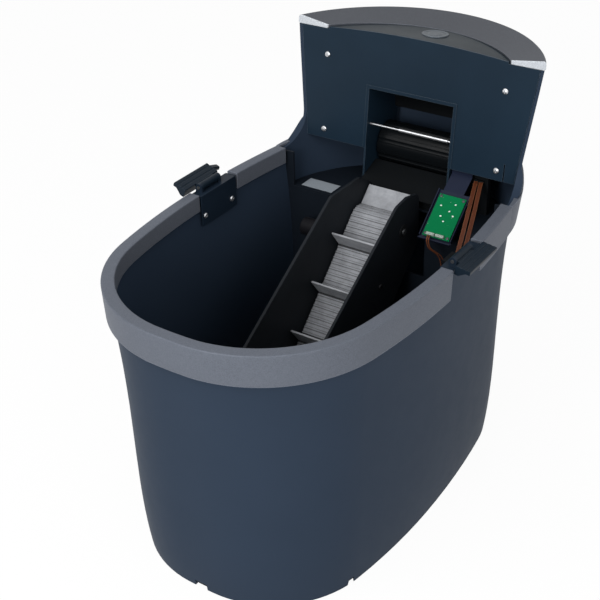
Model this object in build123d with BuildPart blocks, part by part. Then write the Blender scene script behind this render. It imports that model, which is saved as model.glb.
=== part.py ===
"""Chip hopper with a cleated lift: an oval floor-standing tub, a round-backed tower behind it and
an inclined cleated belt that lifts gaming chips out of the tub and over its head into the tower.

Millimetres.  +X is the right side seen from the nose, +Y points to the tower, +Z is up.
The origin is the point on the floor below the widest section of the tub, on its mirror plane.
"""

import os
from math import atan2, cos, degrees, hypot, pi, radians, sin, sqrt, tan

from build123d import *

# ---------------------------------------------------------------- tub outline, at the rim
half_width = 210.0
nose_reach = 322.8
nose_radius = 745.0
shoulder_radius = 181.0
front_side_radius = 1020.0
rear_side_radius = 1400.0
tower_centre_y = 172.0

# ---------------------------------------------------------------- heights and flare
rim_height = 419.5
tower_height = 605.0
waist_height = 200.0
base_inset = 26.0
waist_inset = 17.0
band_inset = 8.0
tower_flare = 6.5
cap_flare = 23.3
wall = 4.5
fit = 0.5
seat = 0.3

# ---------------------------------------------------------------- rim band
band_height = 45.0
rim_width = 16.0
rim_top = 4.0
rim_leg = 3.0
inner_skirt = 25.0
rim_flare = 2.0
rim_edge_radius = 1.8
notch_front_y = -8.0
notch_rear_y = 80.0
rim_rear_y = 191.0
rear_bearing = 24.0
rear_foot_swell = 0.5
rear_top_swell = 6.2
shoulder_steps = (
    (0.3, -4.5, 6.2),
    (10.5, -4.0, 6.1),
    (20.5, -3.5, 4.9),
    (27.5, -3.0, 3.0),
    (33.0, -2.5, 0.0),
)

# ---------------------------------------------------------------- tower front
panel_lean = 6.48
panel_foot_y = 244.3
panel_thickness = 4.0
panel_gap_above_rim = 5.0
throat_corner_radius = 55.0
panel_arch_half = 145.5
screw_edge = 63.9
screw_rise = 19.2
screw_drop = 50.6
screw_head_radius = 4.4
screw_shank_radius = 2.0
screw_grip = 9.0
screw_height_share = 0.6
screw_round_share = 0.45
recess_width_share = 0.24
recess_depth_share = 0.3
lug_depth = 12.0
lug_width = 18.0
slit_inset = 52.0
slit_width = 2.0
slit_height = 26.0
ear_inset = 32.0
label_x = -133.5
label_y = 216.5
label_length = 55.0
label_width = 27.0
label_thickness = 0.4

# ---------------------------------------------------------------- cap and deck
cap_radius = 221.0
cap_thickness = 12.0
cap_fall = 0.16
cap_lip = 2.2
cap_sweep = 75.0
cap_inner_radius = 194.0
cap_inner_centre_y = 141.0
trim_thickness = 2.0
deck_step = 3.0
deck_thickness = 3.0
deck_rise = 6.5
deck_fall_angle = 5.5
badge_radius = 20.0
badge_x = 8.5
badge_y = 308.0
badge_thickness = 1.2
badge_edge_taper = 25.0
badge_ring = 3.0
badge_sink = 0.5
deck_drop = 20.0

# ---------------------------------------------------------------- floor, bulkhead and shelf
base_thickness = 4.0
flange_thickness = 3.0
flange_width = 16.0
floor_level = 38.0
floor_thickness = 3.0
floor_half = 78.0
floor_front_y = -224.0
floor_rear_y = -60.0
funnel_height = 132.0
funnel_spread = 162.0
bulkhead_y = 196.0
bulkhead_thickness = 3.0
shelf_level = 357.0
shelf_thickness = 3.0
head_bay_half = 62.0
head_bay_bottom = 262.0
head_bay_rear = 225.0
ear_top = 413.0
ear_width = 16.0
grommet_x = 101.0
grommet_z = 290.0
grommet_radius = 6.0
grommet_lip = 1.5
grommet_bore = 4.0

# ---------------------------------------------------------------- elevator
lift_angle = 44.04
head_y = 165.3
head_z = 348.2
roller_pitch = 355.0
roller_radius = 19.0
running_gap = 0.3
belt_thickness = 2.7
belt_half = 36.0
rib_height = 1.3
rib_width = 3.6
rib_side_angle = 70.0
belt_sink = 1.0
cleat_count = 11
ribs_per_cleat = 9
cleat_height = 33.0
cleat_base = 11.0
cleat_tip = 2.5
first_cleat = -45.0
cheek_inner = 38.0
cheek_thickness = 4.0
cheek_foot_front_y = -215.0
cheek_head_rear_y = 212.0
cheek_low_edge = 60.0
cheek_corner = 14.0
shaft_radius = 5.0
bush_radius = 8.0
bush_flange_radius = 11.0
bush_flange = 1.5
shaft_clearance = 0.05
shaft_chamfer = 0.6
spacer_radius = 5.0
bed_thickness = 3.0
left_cheek_top = ((-215.0, 221.7), (97.9, 412.5), (176.0, 411.5), (212.0, 389.0))
right_cheek_top = ((-215.0, 166.0), (147.0, 395.6), (176.0, 399.0), (212.0, 391.0))
bush_wall = 3.0
foot_spacer_y = -198.0
foot_spacer_z = 48.0
spacer_screw_radius = 2.5
bed_end_gap = 4.0

# ---------------------------------------------------------------- belt drive
gear_module = 1.5
gear_teeth = 36
pinion_teeth = 14
gear_width = 9.0
gear_gap = 3.5
gear_backlash = 0.35
pressure_angle = 20.0
gear_addendum = 0.85
gear_dedendum = 1.25
tooth_sink = 0.5
motor_angle = 270.0
gearbox_radius = 18.0
gearbox_length = 24.0
motor_radius = 14.0
motor_length = 46.0
bracket_thickness = 2.5
post_radius = 4.0
motor_shaft_radius = 3.0
motor_shaft_engage = 10.0
bracket_posts = [(-25.0, -12.0), (25.0, -12.0), (-25.0, 6.0), (25.0, 6.0)]
bracket_length = 60.0
bracket_height = 40.0

# ---------------------------------------------------------------- throat
throat_half = 70.0
throat_rise = 97.5
throat_wall = 2.5
throat_flange = 2.5
throat_flange_thickness = 1.2
throat_rear_y = 336.0
guide_front_y = 218.0
guide_front_z = 374.0
guide_slope = 19.6
guide_length = 61.0
guide_thickness = 2.0
guide_leg_y = 229.0
drum_y = 304.0
drum_z = 416.5
drum_radius = 32.0
drum_half = 66.0
drum_shaft_radius = 4.0
drum_flute_radius = 5.0
drum_flutes = 8
rod_y = 258.0
rod_z = 460.0
rod_radius = 1.5
rod_grip_radius = 2.6
rod_grip_start = -20.0
rod_grip_end = 62.0
drum_motor_length = 34.0
drum_motor_radius = 16.0
drum_motor_edge = 1.5
standoff_radius = 2.4
standoff_inset = 2.5
flute_share = 0.6
drum_flute_start = 22.5
drum_shaft_stub = 14.0
drum_motor_standoff = 3.0
hood_radius = 40.0
hood_thickness = 2.0
hood_foot = 462.0

# ---------------------------------------------------------------- board and harness
board_x = 75.0
board_width = 43.0
board_length = 68.0
board_thickness = 1.6
board_y = 162.5
board_z = 354.6
board_angle = 40.0
board_lift = 4.0
tray_left_margin = 6.0
tray_right_margin = 2.5
tray_sheet = 1.5
tray_foot = 4.0
tray_over = 8.0
tray_lip = 5.0
ribbon_thickness = 0.9
ribbon_width = 5.5
plug_play = 0.1
plug_thickness = 4.0
plug_margin = 0.8
wire_radius = 0.8
wire_starts = (-11.0, -8.0)
wire_offsets = (-1.6, 1.6)
tray_tab_inset = 10.0
tray_tab_rise = 16.0
board_screw_inset = 3.5
board_screw_head = 2.4
board_screw_shank = 1.2
connector_xs = (-8.5, 6.5)
connector_inset = 3.0
connector_width = 13.0
connector_depth = 4.0
connector_height = 4.2
chip_places = [(1.0, 27.0), (-6.0, 34.0), (4.0, 44.0), (12.0, 38.0), (-12.0, 50.0), (9.0, 56.0)]
chip_width = 2.6
chip_length = 1.8
chip_height = 0.9
header_front_y = 258.0
header_depth = 8.0
header_x = 117.0
header_width = 26.0
header_top = 418.0
ribbon_routes = [
    ((113.0, 252.0), 171.5, (411.0, 404.5, 397.0, 390.5, 386.0)),
    ((121.0, 252.0), 180.5, (411.0, 402.0, 394.5, 390.0, 388.0)),
]
ribbon_reach = 6.0
plug_length = 6.0

# ---------------------------------------------------------------- latches
pivot_inset = 6.0
pivot_rise = 5.0
pin_radius = 2.5
knuckle_radius = 5.5
ear_thickness = 4.0
ear_front_y = 4.0
ear_rear_y = 50.0
lever_length = 76.0
lever_reach = 29.0
lever_thickness = 13.0
lever_edge = 6.0
lever_groove = 2.4
lever_groove_shares = (0.35, 0.7)
lever_edge_radius = 1.2
lever_root = 7.5
lever_neck = 5.0
lever_neck_drop = 2.0
right_lever_y = -1.5
left_lever_y = -17.0
right_lever_tilt = -9.0
left_lever_tilt = 22.0
bracket_plate = 2.0
bracket_front_y = -6.0
bracket_rear_y = 76.0
switch_gap = 3.5
switch_width = 21.0
switch_y = 48.0
switch_length = 28.0
switch_drop = 43.5
switch_height = 18.0
button_width = 5.0
button_length = 8.0
button_height = 4.0
latch_screw_head = 4.2
latch_screw_shank = 1.8
latch_screw_grip = 5.5
latch_screw_drop = 34.5
latch_screw_ys = (0.5, 64.0)
latch_plate_inset = 18.5
latch_plate_drop = 49.5
finger_length = 19.0
finger_drop = 6.0
finger_size = 8.0

# ---------------------------------------------------------------- rear service plate
service_width = 74.0
service_height = 34.0
service_z = 66.0
service_proud = 2.5
rocker_x = 20.0
rocker_width = 14.0
rocker_rise = 1.5
rocker_depth = 6.0
rocker_height = 20.0
inlet_x = -14.0
inlet_width = 28.0
inlet_height = 19.0
service_depth = 8.0
service_lap = 3.0
service_corner = 4.0
service_side_margin = 8.0
service_end_margin = 5.0
inlet_corner = 3.0
inlet_wall = 3.0
inlet_depth = 6.0
inlet_back = 3.0
inlet_pin_width = 1.6
inlet_pin_height = 4.0
inlet_pins = ((0.0, 2.0), (-6.0, -2.0), (6.0, -2.0))
rocker_edge = 1.0
rocker_taper = 4.0

# ---------------------------------------------------------------- skirt notches
notch_width = 20.0
notch_height = 10.0
skirt_notches = [
    (0.0, base_inset - nose_reach),
    (158.0, -180.0),
    (-158.0, -180.0),
    (150.0, 230.0),
    (-150.0, 230.0),
]

# ---------------------------------------------------------------- derived places
nose_centre = (0.0, nose_radius - nose_reach)
front_side_centre = (half_width - front_side_radius, 0.0)
rear_side_centre = (half_width - rear_side_radius, 0.0)
rear_start_y = rim_rear_y + seat
tower_radius = rear_side_radius - hypot(rear_side_centre[0], tower_centre_y)
cap_bottom = tower_height - cap_thickness
deck_top = tower_height - deck_step
throat_top = rim_height + throat_rise
screw_x = half_width - screw_edge
screw_low = rim_height + screw_rise
screw_high = tower_height - screw_drop
slit_x = half_width - slit_inset
ear_x = half_width - ear_inset
pivot_x = half_width - pivot_inset
pivot_z = rim_height + pivot_rise
latch_plate_x = half_width - latch_plate_inset
latch_plate_foot = rim_height - latch_plate_drop
latch_screw_z = rim_height - latch_screw_drop
switch_x = latch_plate_x - switch_gap - switch_width
switch_z = rim_height - switch_drop
wall_top = rim_height - rim_top - seat
rim_foot = rim_height - band_height
shell_top = cap_bottom - seat

os.makedirs("parts", exist_ok=True)


def circle_meeting(first, first_reach, second, second_reach):
    """Point at the two given distances from two centres, on the +X side."""
    gap = hypot(second[0] - first[0], second[1] - first[1])
    along = (first_reach**2 - second_reach**2 + gap**2) / (2 * gap)
    aside = sqrt(first_reach**2 - along**2)
    ux, uy = (second[0] - first[0]) / gap, (second[1] - first[1]) / gap
    options = [
        (first[0] + along * ux - side * aside * uy, first[1] + along * uy + side * aside * ux)
        for side in (1, -1)
    ]
    return max(options)


shoulder_centre = circle_meeting(
    nose_centre,
    nose_radius - shoulder_radius,
    front_side_centre,
    front_side_radius - shoulder_radius,
)


def bearing(start, end):
    """Direction in degrees from one point to another."""
    return degrees(atan2(end[1] - start[1], end[0] - start[0]))


nose_turn = bearing(nose_centre, shoulder_centre)
side_turn = bearing(front_side_centre, shoulder_centre)
tower_turn = bearing(rear_side_centre, (0.0, tower_centre_y))

panel_plane = Plane(
    origin=(0, panel_foot_y, rim_height),
    x_dir=(1, 0, 0),
    z_dir=(0, -cos(radians(panel_lean)), sin(radians(panel_lean))),
)


def panel_y(height):
    """The panel's front face at the given height."""
    return panel_foot_y + (height - rim_height) * tan(radians(panel_lean))


def panel_v(height):
    """Distance up the leaning panel plane of a point at the given height."""
    return (height - rim_height) / cos(radians(panel_lean))

# ---------------------------------------------------------------- shared forms
def outline(grow):
    """The tub's plan of tangent arcs, moved outwards by grow."""
    with BuildSketch() as plan:
        with BuildLine():
            CenterArc(nose_centre, nose_radius + grow, -180 - nose_turn, 180 + 2 * nose_turn)
            for start, radius, centre, size in (
                (nose_turn, shoulder_radius, shoulder_centre, side_turn - nose_turn),
                (side_turn, front_side_radius, front_side_centre, -side_turn),
                (0.0, rear_side_radius, rear_side_centre, tower_turn),
            ):
                CenterArc(centre, radius + grow, start, size)
                CenterArc((-centre[0], centre[1]), radius + grow, 180 - start, -size)
            CenterArc((0, tower_centre_y), tower_radius + grow, tower_turn, 180 - 2 * tower_turn)
        make_face()
    return plan.sketch


def tub_form(grow):
    """The flared body, lofted through its sections and moved outwards by grow."""
    with BuildPart() as form:
        for height, inset in (
            (0.0, -base_inset),
            (waist_height, -waist_inset),
            (rim_foot, -band_inset),
            ((rim_height - band_height + tower_height) / 2, tower_flare),
            (tower_height, cap_flare),
        ):
            with BuildSketch(Plane.XY.offset(height)):
                add(outline(inset + grow))
        loft()
    return form.part


def ring(height, depth, outer, inner):
    """A band that follows the tub's outline, hanging down from a height."""
    with BuildPart() as band:
        with BuildSketch(Plane.XY.offset(height)):
            add(outline(outer))
            add(outline(inner), mode=Mode.SUBTRACT)
        extrude(amount=-depth)
    return band.part


def rear_plan(height, side, swell):
    """The tower's round pushed outwards by swell, starting beside the rim's rear end."""
    reach = tower_radius + swell
    edge_x = sqrt((tower_radius + side) ** 2 - (rear_start_y - tower_centre_y) ** 2)
    turn = radians(rear_bearing)
    leave = (reach * cos(turn), tower_centre_y + reach * sin(turn))
    with BuildSketch(Plane.XY.offset(height)) as plan:
        with BuildLine():
            CenterArc((0, tower_centre_y), reach, rear_bearing, 180 - 2 * rear_bearing)
            TangentArc(leave, (edge_x, rear_start_y), tangent=(sin(turn), -cos(turn)))
            TangentArc((-leave[0], leave[1]), (-edge_x, rear_start_y), tangent=(-sin(turn), -cos(turn)))
            Line((-edge_x, rear_start_y), (edge_x, rear_start_y))
        make_face()
    return plan.sketch


def cap_form():
    """The sloping crescent on the tower, before its front is trimmed."""
    inner = cap_radius - cap_sweep
    with BuildPart() as crescent:
        with BuildSketch(Plane.XZ.offset(-tower_centre_y)):
            Polygon(
                (inner, cap_bottom),
                (cap_radius - cap_lip, cap_bottom),
                (cap_radius, cap_bottom + cap_lip),
                (cap_radius, tower_height - cap_lip),
                (cap_radius - cap_lip, tower_height),
                (inner, tower_height - cap_fall * (cap_radius - inner)),
                align=None,
            )
        revolve(axis=Axis((0, tower_centre_y, 0), (0, 0, 1)))
        with BuildSketch(Plane.XY.offset(cap_bottom)):
            with Locations((0, cap_inner_centre_y)):
                Circle(cap_inner_radius)
        extrude(amount=cap_thickness, mode=Mode.SUBTRACT)
    return crescent.part


def outward(x, y, z):
    """A plane facing away from the mirror plane, on the side that x is on."""
    return Plane(origin=(x, y, z), x_dir=(0, 1, 0), z_dir=(1 if x > 0 else -1, 0, 0))


def save(piece, name):
    """Label a finished piece and write it."""
    piece.part.label = name
    export_step(piece.part, "parts/" + name + ".step")


panel_screw_places = [
    (side * screw_x, panel_v(height)) for side in (-1, 1) for height in (screw_low, screw_high)
]
cavity = tub_form(-wall - fit)

# ---------------------------------------------------------------- body shell
with BuildPart() as panel_lugs:
    lug_reach = half_width + cap_flare - screw_x + lug_width / 2
    lug_shift = (lug_reach - lug_width) / 2
    with BuildSketch(panel_plane.offset(-panel_thickness - seat)):
        for x, v in panel_screw_places:
            with Locations((x + (lug_shift if x > 0 else -lug_shift), v)):
                Rectangle(lug_reach, lug_width)
        with Locations(*panel_screw_places):
            Circle(screw_shank_radius + shaft_clearance, mode=Mode.SUBTRACT)
    extrude(amount=-lug_depth)
    add(tub_form(-wall / 2), mode=Mode.INTERSECT)

with BuildPart() as shoulder:
    for rise, side, swell in shoulder_steps:
        add(rear_plan(rim_height + rise, side, swell))
    loft()

with BuildPart() as body_shell:
    add(tub_form(0))
    add(shoulder.part)
    add(tub_form(-wall), mode=Mode.SUBTRACT)
    with BuildSketch(Plane.YZ):
        with BuildLine():
            Polyline(
                (-2 * nose_reach, wall_top),
                (panel_y(wall_top), wall_top),
                (panel_y(2 * tower_height), 2 * tower_height),
                (-2 * nose_reach, 2 * tower_height),
                close=True,
            )
        make_face()
        fillet(vertices().sort_by_distance((panel_y(wall_top), wall_top))[0], throat_corner_radius)
    extrude(amount=half_width + cap_flare, both=True, mode=Mode.SUBTRACT)
    split(bisect_by=Plane.XY.offset(shell_top), keep=Keep.BOTTOM)
    add(ring(base_thickness + flange_thickness, flange_thickness, -base_inset - wall / 2,
             -base_inset - wall - flange_width))
    add(panel_lugs.part)
    for side in (-1, 1):
        with BuildSketch(outward(side * latch_plate_x, 0, latch_screw_z)):
            with Locations(*[(y, 0) for y in latch_screw_ys]):
                Circle(latch_screw_shank + seat)
        extrude(amount=latch_screw_grip + 1, mode=Mode.SUBTRACT)
    with BuildSketch(Plane.XY):
        for x, y in skirt_notches:
            inward = bearing((0.0, tower_centre_y if y > 0 else 0.0), (x, y))
            with Locations(Location((x, y), inward)):
                Rectangle(4 * (wall + fit), notch_width)
    extrude(amount=notch_height, mode=Mode.SUBTRACT)
    with BuildSketch(Plane.XZ.offset(-tower_centre_y)):
        with Locations((0, service_z)):
            Rectangle(service_width - 2 * service_side_margin, service_height - 2 * service_end_margin)
    extrude(amount=-2 * tower_radius, mode=Mode.SUBTRACT)
save(body_shell, "body_shell")

# ---------------------------------------------------------------- base plate, floor, bulkhead, shelf
with BuildPart() as base_plate:
    with BuildSketch():
        add(outline(-base_inset - wall - fit))
    extrude(amount=base_thickness)
save(base_plate, "base_plate")


def funnel(drop):
    """The hopper's inner pyramid, lowered by drop."""
    front = (floor_front_y + floor_rear_y) / 2
    length = floor_rear_y - floor_front_y
    with BuildPart() as form:
        with BuildSketch(Plane.XY.offset(floor_level - drop)):
            with Locations((0, front)):
                Rectangle(2 * floor_half, length)
        with BuildSketch(Plane.XY.offset(floor_level + funnel_height - drop)):
            rear = bulkhead_y - fit
            nose = floor_front_y - funnel_spread
            with Locations((0, (rear + nose) / 2)):
                Rectangle(2 * (floor_half + funnel_spread), rear - nose)
        loft(ruled=True)
    return form.part


with BuildPart() as hopper_floor:
    add(funnel(floor_thickness))
    add(cavity, mode=Mode.INTERSECT)
    add(funnel(0), mode=Mode.SUBTRACT)
save(hopper_floor, "hopper_floor")

with BuildPart() as rear_bulkhead:
    with BuildSketch(Plane.XZ.offset(-bulkhead_y)):
        low = base_thickness + flange_thickness + seat
        high = shelf_level - shelf_thickness - seat
        with Locations((0, (low + high) / 2)):
            Rectangle(2 * half_width, high - low)
        with Locations((0, (head_bay_bottom + high) / 2)):
            Rectangle(2 * head_bay_half, high - head_bay_bottom, mode=Mode.SUBTRACT)
        with Locations((grommet_x, grommet_z)):
            Circle(grommet_radius, mode=Mode.SUBTRACT)
    extrude(amount=-bulkhead_thickness)
    add(cavity, mode=Mode.INTERSECT)
save(rear_bulkhead, "rear_bulkhead")

with BuildPart() as grommet:
    with BuildSketch(Plane.XZ.offset(-bulkhead_y + grommet_lip)):
        with Locations((grommet_x, grommet_z)):
            Circle(grommet_radius + grommet_lip)
            Circle(grommet_bore, mode=Mode.SUBTRACT)
    extrude(amount=-grommet_lip)
    with BuildSketch(Plane.XZ.offset(-bulkhead_y)):
        with Locations((grommet_x, grommet_z)):
            Circle(grommet_radius)
            Circle(grommet_bore, mode=Mode.SUBTRACT)
    extrude(amount=-bulkhead_thickness)
save(grommet, "wire_grommet")

with BuildPart() as chassis_shelf:
    with BuildSketch(Plane.XY.offset(shelf_level)):
        with Locations((0, bulkhead_y + tower_radius)):
            Rectangle(2 * half_width, 2 * tower_radius)
        with Locations((0, (bulkhead_y + head_bay_rear) / 2)):
            Rectangle(2 * head_bay_half, head_bay_rear - bulkhead_y, mode=Mode.SUBTRACT)
    extrude(amount=-shelf_thickness)
    with BuildSketch(Plane.XY.offset(shelf_level)):
        for side in (-1, 1):
            with Locations((side * ear_x, bulkhead_y + shelf_thickness / 2)):
                Rectangle(ear_width, shelf_thickness)
    extrude(amount=ear_top - shelf_level)
    add(cavity, mode=Mode.INTERSECT)
save(chassis_shelf, "chassis_shelf")

with BuildPart() as blank_label:
    with BuildSketch(Plane.XY.offset(shelf_level)):
        with Locations((label_x, label_y)):
            Rectangle(label_length, label_width)
    extrude(amount=label_thickness)
save(blank_label, "blank_label")

# ---------------------------------------------------------------- rim, in four lengths
with BuildPart() as rim_hollow:
    with BuildSketch(Plane.XY.offset(rim_foot + rim_leg)):
        add(outline(-rim_leg))
    with BuildSketch(Plane.XY.offset(rim_height - rim_top)):
        add(outline(rim_flare - rim_leg))
    loft()
    add(ring(rim_height - rim_top, inner_skirt - rim_top, rim_leg - rim_width, -rim_width),
        mode=Mode.SUBTRACT)
    with BuildSketch(Plane.XY.offset(rim_foot)):
        add(outline(fit - band_inset))
    extrude(amount=rim_leg)

with BuildPart() as rim_ring:
    with BuildSketch(Plane.XY.offset(rim_foot)):
        add(outline(0))
    with BuildSketch(Plane.XY.offset(rim_height)):
        add(outline(rim_flare))
    loft()
    with BuildSketch():
        add(outline(-rim_width))
    extrude(amount=tower_height, mode=Mode.SUBTRACT)
    fillet(faces().sort_by(Axis.Z)[-1].edges(), rim_edge_radius)
    add(rim_hollow.part, mode=Mode.SUBTRACT)

rim_lengths = {
    "rim_front": ((-2 * half_width, -2 * nose_reach), (2 * half_width, notch_front_y)),
    "rim_left": ((-2 * half_width, notch_rear_y), (0, rim_rear_y)),
    "rim_right": ((0, notch_rear_y), (2 * half_width, rim_rear_y)),
}
for name, (low, high) in rim_lengths.items():
    with BuildPart() as rim_length:
        with BuildSketch():
            with Locations(((low[0] + high[0]) / 2, (low[1] + high[1]) / 2)):
                Rectangle(high[0] - low[0], high[1] - low[1])
        extrude(amount=tower_height)
        add(rim_ring.part, mode=Mode.INTERSECT)
    save(rim_length, name)

with BuildPart() as rim_rear:
    for inner, mode in ((0, Mode.ADD), (rim_leg, Mode.SUBTRACT)):
        add(rear_plan(rim_foot + inner, -inner, rear_foot_swell - inner))
        add(rear_plan(rim_height - inner, rim_flare - inner, rear_top_swell - inner))
        loft(mode=mode)
    add(tub_form(seat), mode=Mode.SUBTRACT)
save(rim_rear, "rim_rear")

# ---------------------------------------------------------------- tower cap, deck and badge
cap_front = panel_plane.offset(-trim_thickness)
with BuildPart() as tower_cap:
    add(cap_form())
    split(bisect_by=cap_front, keep=Keep.BOTTOM)
save(tower_cap, "tower_cap")

with BuildPart() as cap_end_trims:
    add(cap_form())
    split(bisect_by=cap_front, keep=Keep.TOP)
    split(bisect_by=panel_plane, keep=Keep.BOTTOM)
save(cap_end_trims, "cap_end_trims")

deck_plane = Plane(
    origin=(0, panel_y(deck_top), deck_top),
    x_dir=(1, 0, 0),
    z_dir=(0, -cos(radians(deck_fall_angle)), sin(radians(deck_fall_angle))),
)


def arch(top):
    """A low arch across the tower, peaking at top."""
    with BuildSketch() as profile:
        with BuildLine():
            ThreePointArc(
                (-panel_arch_half, top - deck_rise), (0, top), (panel_arch_half, top - deck_rise)
            )
            Line((panel_arch_half, top - deck_rise), (panel_arch_half, top - deck_drop))
            Line((panel_arch_half, top - deck_drop), (-panel_arch_half, top - deck_drop))
            Line((-panel_arch_half, top - deck_drop), (-panel_arch_half, top - deck_rise))
        make_face()
    return profile.sketch


with BuildPart() as tower_deck:
    with BuildSketch(deck_plane):
        add(arch(0))
        add(arch(-deck_thickness), mode=Mode.SUBTRACT)
    extrude(amount=-2 * cap_inner_radius)
    with BuildSketch() as deck_bay:
        with Locations((0, cap_inner_centre_y)):
            Circle(cap_inner_radius - seat)
    extrude(amount=2 * tower_height, mode=Mode.INTERSECT)
    split(bisect_by=panel_plane.offset(-panel_thickness - seat), keep=Keep.BOTTOM)
save(tower_deck, "tower_deck")

with BuildPart() as blank_badge:
    badge_rise = deck_top - (badge_y - panel_y(deck_top)) * tan(radians(deck_fall_angle))
    badge_plane = Plane(
        origin=(badge_x, badge_y, badge_rise),
        z_dir=(0, sin(radians(deck_fall_angle)), cos(radians(deck_fall_angle))),
    )
    with BuildSketch(badge_plane):
        Circle(badge_radius)
    extrude(amount=badge_thickness, taper=badge_edge_taper)
    with BuildSketch(badge_plane.offset(badge_thickness)):
        Circle(badge_radius - badge_ring)
        Circle(badge_radius / 2, mode=Mode.SUBTRACT)
    extrude(amount=-badge_sink, mode=Mode.SUBTRACT)
save(blank_badge, "blank_badge")

# ---------------------------------------------------------------- front panel and its screws
with BuildPart() as front_panel:
    with BuildSketch(panel_plane):
        low = panel_gap_above_rim
        shoulder = panel_v(shell_top)
        crown = panel_v(deck_top)
        with BuildLine():
            Polyline(
                (-panel_arch_half, crown - deck_rise),
                (-panel_arch_half, shoulder),
                (-half_width, shoulder),
                (-half_width, low),
                (half_width, low),
                (half_width, shoulder),
                (panel_arch_half, shoulder),
                (panel_arch_half, crown - deck_rise),
            )
            ThreePointArc(
                (panel_arch_half, crown - deck_rise), (0, crown), (-panel_arch_half, crown - deck_rise)
            )
        make_face()
        throat_reach = panel_v(throat_top) + throat_wall + seat
        with Locations((0, throat_reach / 2)):
            Rectangle(
                2 * (throat_half + throat_wall + seat), throat_reach, mode=Mode.SUBTRACT
            )
        with Locations((slit_x, low + slit_height / 2)):
            Rectangle(slit_width, slit_height, mode=Mode.SUBTRACT)
        with Locations(*panel_screw_places):
            Circle(screw_shank_radius + seat, mode=Mode.SUBTRACT)
    extrude(amount=-panel_thickness)
    add(tub_form(-wall - fit), mode=Mode.INTERSECT)
save(front_panel, "front_panel")


def pan_screw(head, shank, grip):
    """A pan-head screw with a cross recess, its seat at the origin and its head towards +Z."""
    height = head * screw_height_share
    with BuildPart() as screw:
        with BuildSketch():
            Circle(head)
        extrude(amount=height)
        fillet(faces().sort_by(Axis.Z)[-1].edges(), head * screw_round_share)
        with BuildSketch():
            Circle(shank)
        extrude(amount=-grip)
        with BuildSketch(Plane.XY.offset(height)):
            Rectangle(head, head * recess_width_share)
            Rectangle(head * recess_width_share, head)
        extrude(amount=-head * recess_depth_share, mode=Mode.SUBTRACT)
    return screw.part


def place(piece, plane, points):
    """Copies of a piece standing on a plane at the given points."""
    with BuildPart() as copies:
        with Locations(*[plane.location * Location((x, y, 0)) for x, y in points]):
            add(piece)
    return copies.part


with BuildPart() as panel_screws:
    add(place(pan_screw(screw_head_radius, screw_shank_radius, screw_grip), panel_plane,
              panel_screw_places))
save(panel_screws, "panel_screws")

# ---------------------------------------------------------------- throat behind the panel
throat_low = panel_v(shelf_level + seat)
sleeve_depth = throat_rear_y - panel_foot_y
inner_top = panel_v(throat_top)


def portal(grow):
    """The throat's mouth in the panel plane, moved outwards by grow and open at its foot."""
    with BuildSketch() as mouth:
        height = inner_top + grow - throat_low
        with Locations((0, throat_low + height / 2)):
            Rectangle(2 * (throat_half + grow), height)
    return mouth.sketch


with BuildPart() as throat_frame:
    with BuildSketch(panel_plane):
        add(portal(throat_wall))
        add(portal(0), mode=Mode.SUBTRACT)
    extrude(amount=-sleeve_depth)
    with BuildSketch(panel_plane.offset(throat_flange_thickness)):
        add(portal(throat_wall + throat_flange))
        add(portal(0), mode=Mode.SUBTRACT)
        with Locations((0, throat_low)):
            Rectangle(4 * throat_half, 2 * (panel_gap_above_rim - throat_low), mode=Mode.SUBTRACT)
    extrude(amount=-throat_flange_thickness)
    split(bisect_by=Plane.XY.offset(shelf_level + seat), keep=Keep.TOP)
    for y, z, radius in (
        (drum_y, drum_z, drum_shaft_radius + bush_wall),
        (rod_y, rod_z, rod_radius + shaft_clearance),
    ):
        with BuildSketch(Plane.YZ):
            with Locations((y, z)):
                Circle(radius)
        extrude(amount=2 * throat_half, both=True, mode=Mode.SUBTRACT)
save(throat_frame, "throat_frame")

with BuildPart() as throat_guide:
    with BuildSketch(Plane.YZ.offset(seat - throat_half)):
        rise = guide_length * sin(radians(guide_slope))
        run = guide_length * cos(radians(guide_slope))
        with BuildLine():
            Polyline(
                (guide_leg_y, shelf_level + seat),
                (guide_leg_y, guide_front_z + (guide_leg_y - guide_front_y) * rise / run),
            )
            Line((guide_front_y, guide_front_z), (guide_front_y + run, guide_front_z + rise))
        trace(line_width=guide_thickness)
    extrude(amount=2 * (throat_half - seat))
save(throat_guide, "throat_guide")

with BuildPart() as throat_hood:
    with BuildSketch(Plane.YZ.offset(seat - throat_half)):
        with BuildLine():
            crown = throat_top - (throat_rear_y - panel_foot_y) * tan(radians(panel_lean))
            hood_top = (throat_rear_y - hood_radius - hood_thickness, crown - hood_thickness)
            hood_back = (throat_rear_y - hood_thickness, crown - hood_thickness - hood_radius)
            RadiusArc(hood_top, hood_back, hood_radius)
            Line(hood_back, (hood_back[0], hood_foot))
        trace(line_width=hood_thickness)
    extrude(amount=2 * (throat_half - seat))
save(throat_hood, "throat_hood")

with BuildPart() as throat_rod:
    with BuildSketch(Plane.YZ.offset(-throat_half - throat_wall)):
        with Locations((rod_y, rod_z)):
            Circle(rod_radius)
    extrude(amount=2 * (throat_half + throat_wall))
    with BuildSketch(Plane.YZ.offset(rod_grip_start)):
        with Locations((rod_y, rod_z)):
            Circle(rod_grip_radius)
    extrude(amount=rod_grip_end - rod_grip_start)
save(throat_rod, "throat_rod")

drum_plane = Plane(origin=(0, drum_y, drum_z), x_dir=(0, 1, 0), z_dir=(1, 0, 0))
with BuildPart() as feed_drum:
    with BuildSketch(drum_plane.offset(-drum_half)):
        Circle(drum_radius)
        with PolarLocations(drum_radius + drum_flute_radius * flute_share, drum_flutes, drum_flute_start):
            Circle(drum_flute_radius, mode=Mode.SUBTRACT)
        Circle(drum_shaft_radius, mode=Mode.SUBTRACT)
    extrude(amount=2 * drum_half)
save(feed_drum, "feed_drum")

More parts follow.
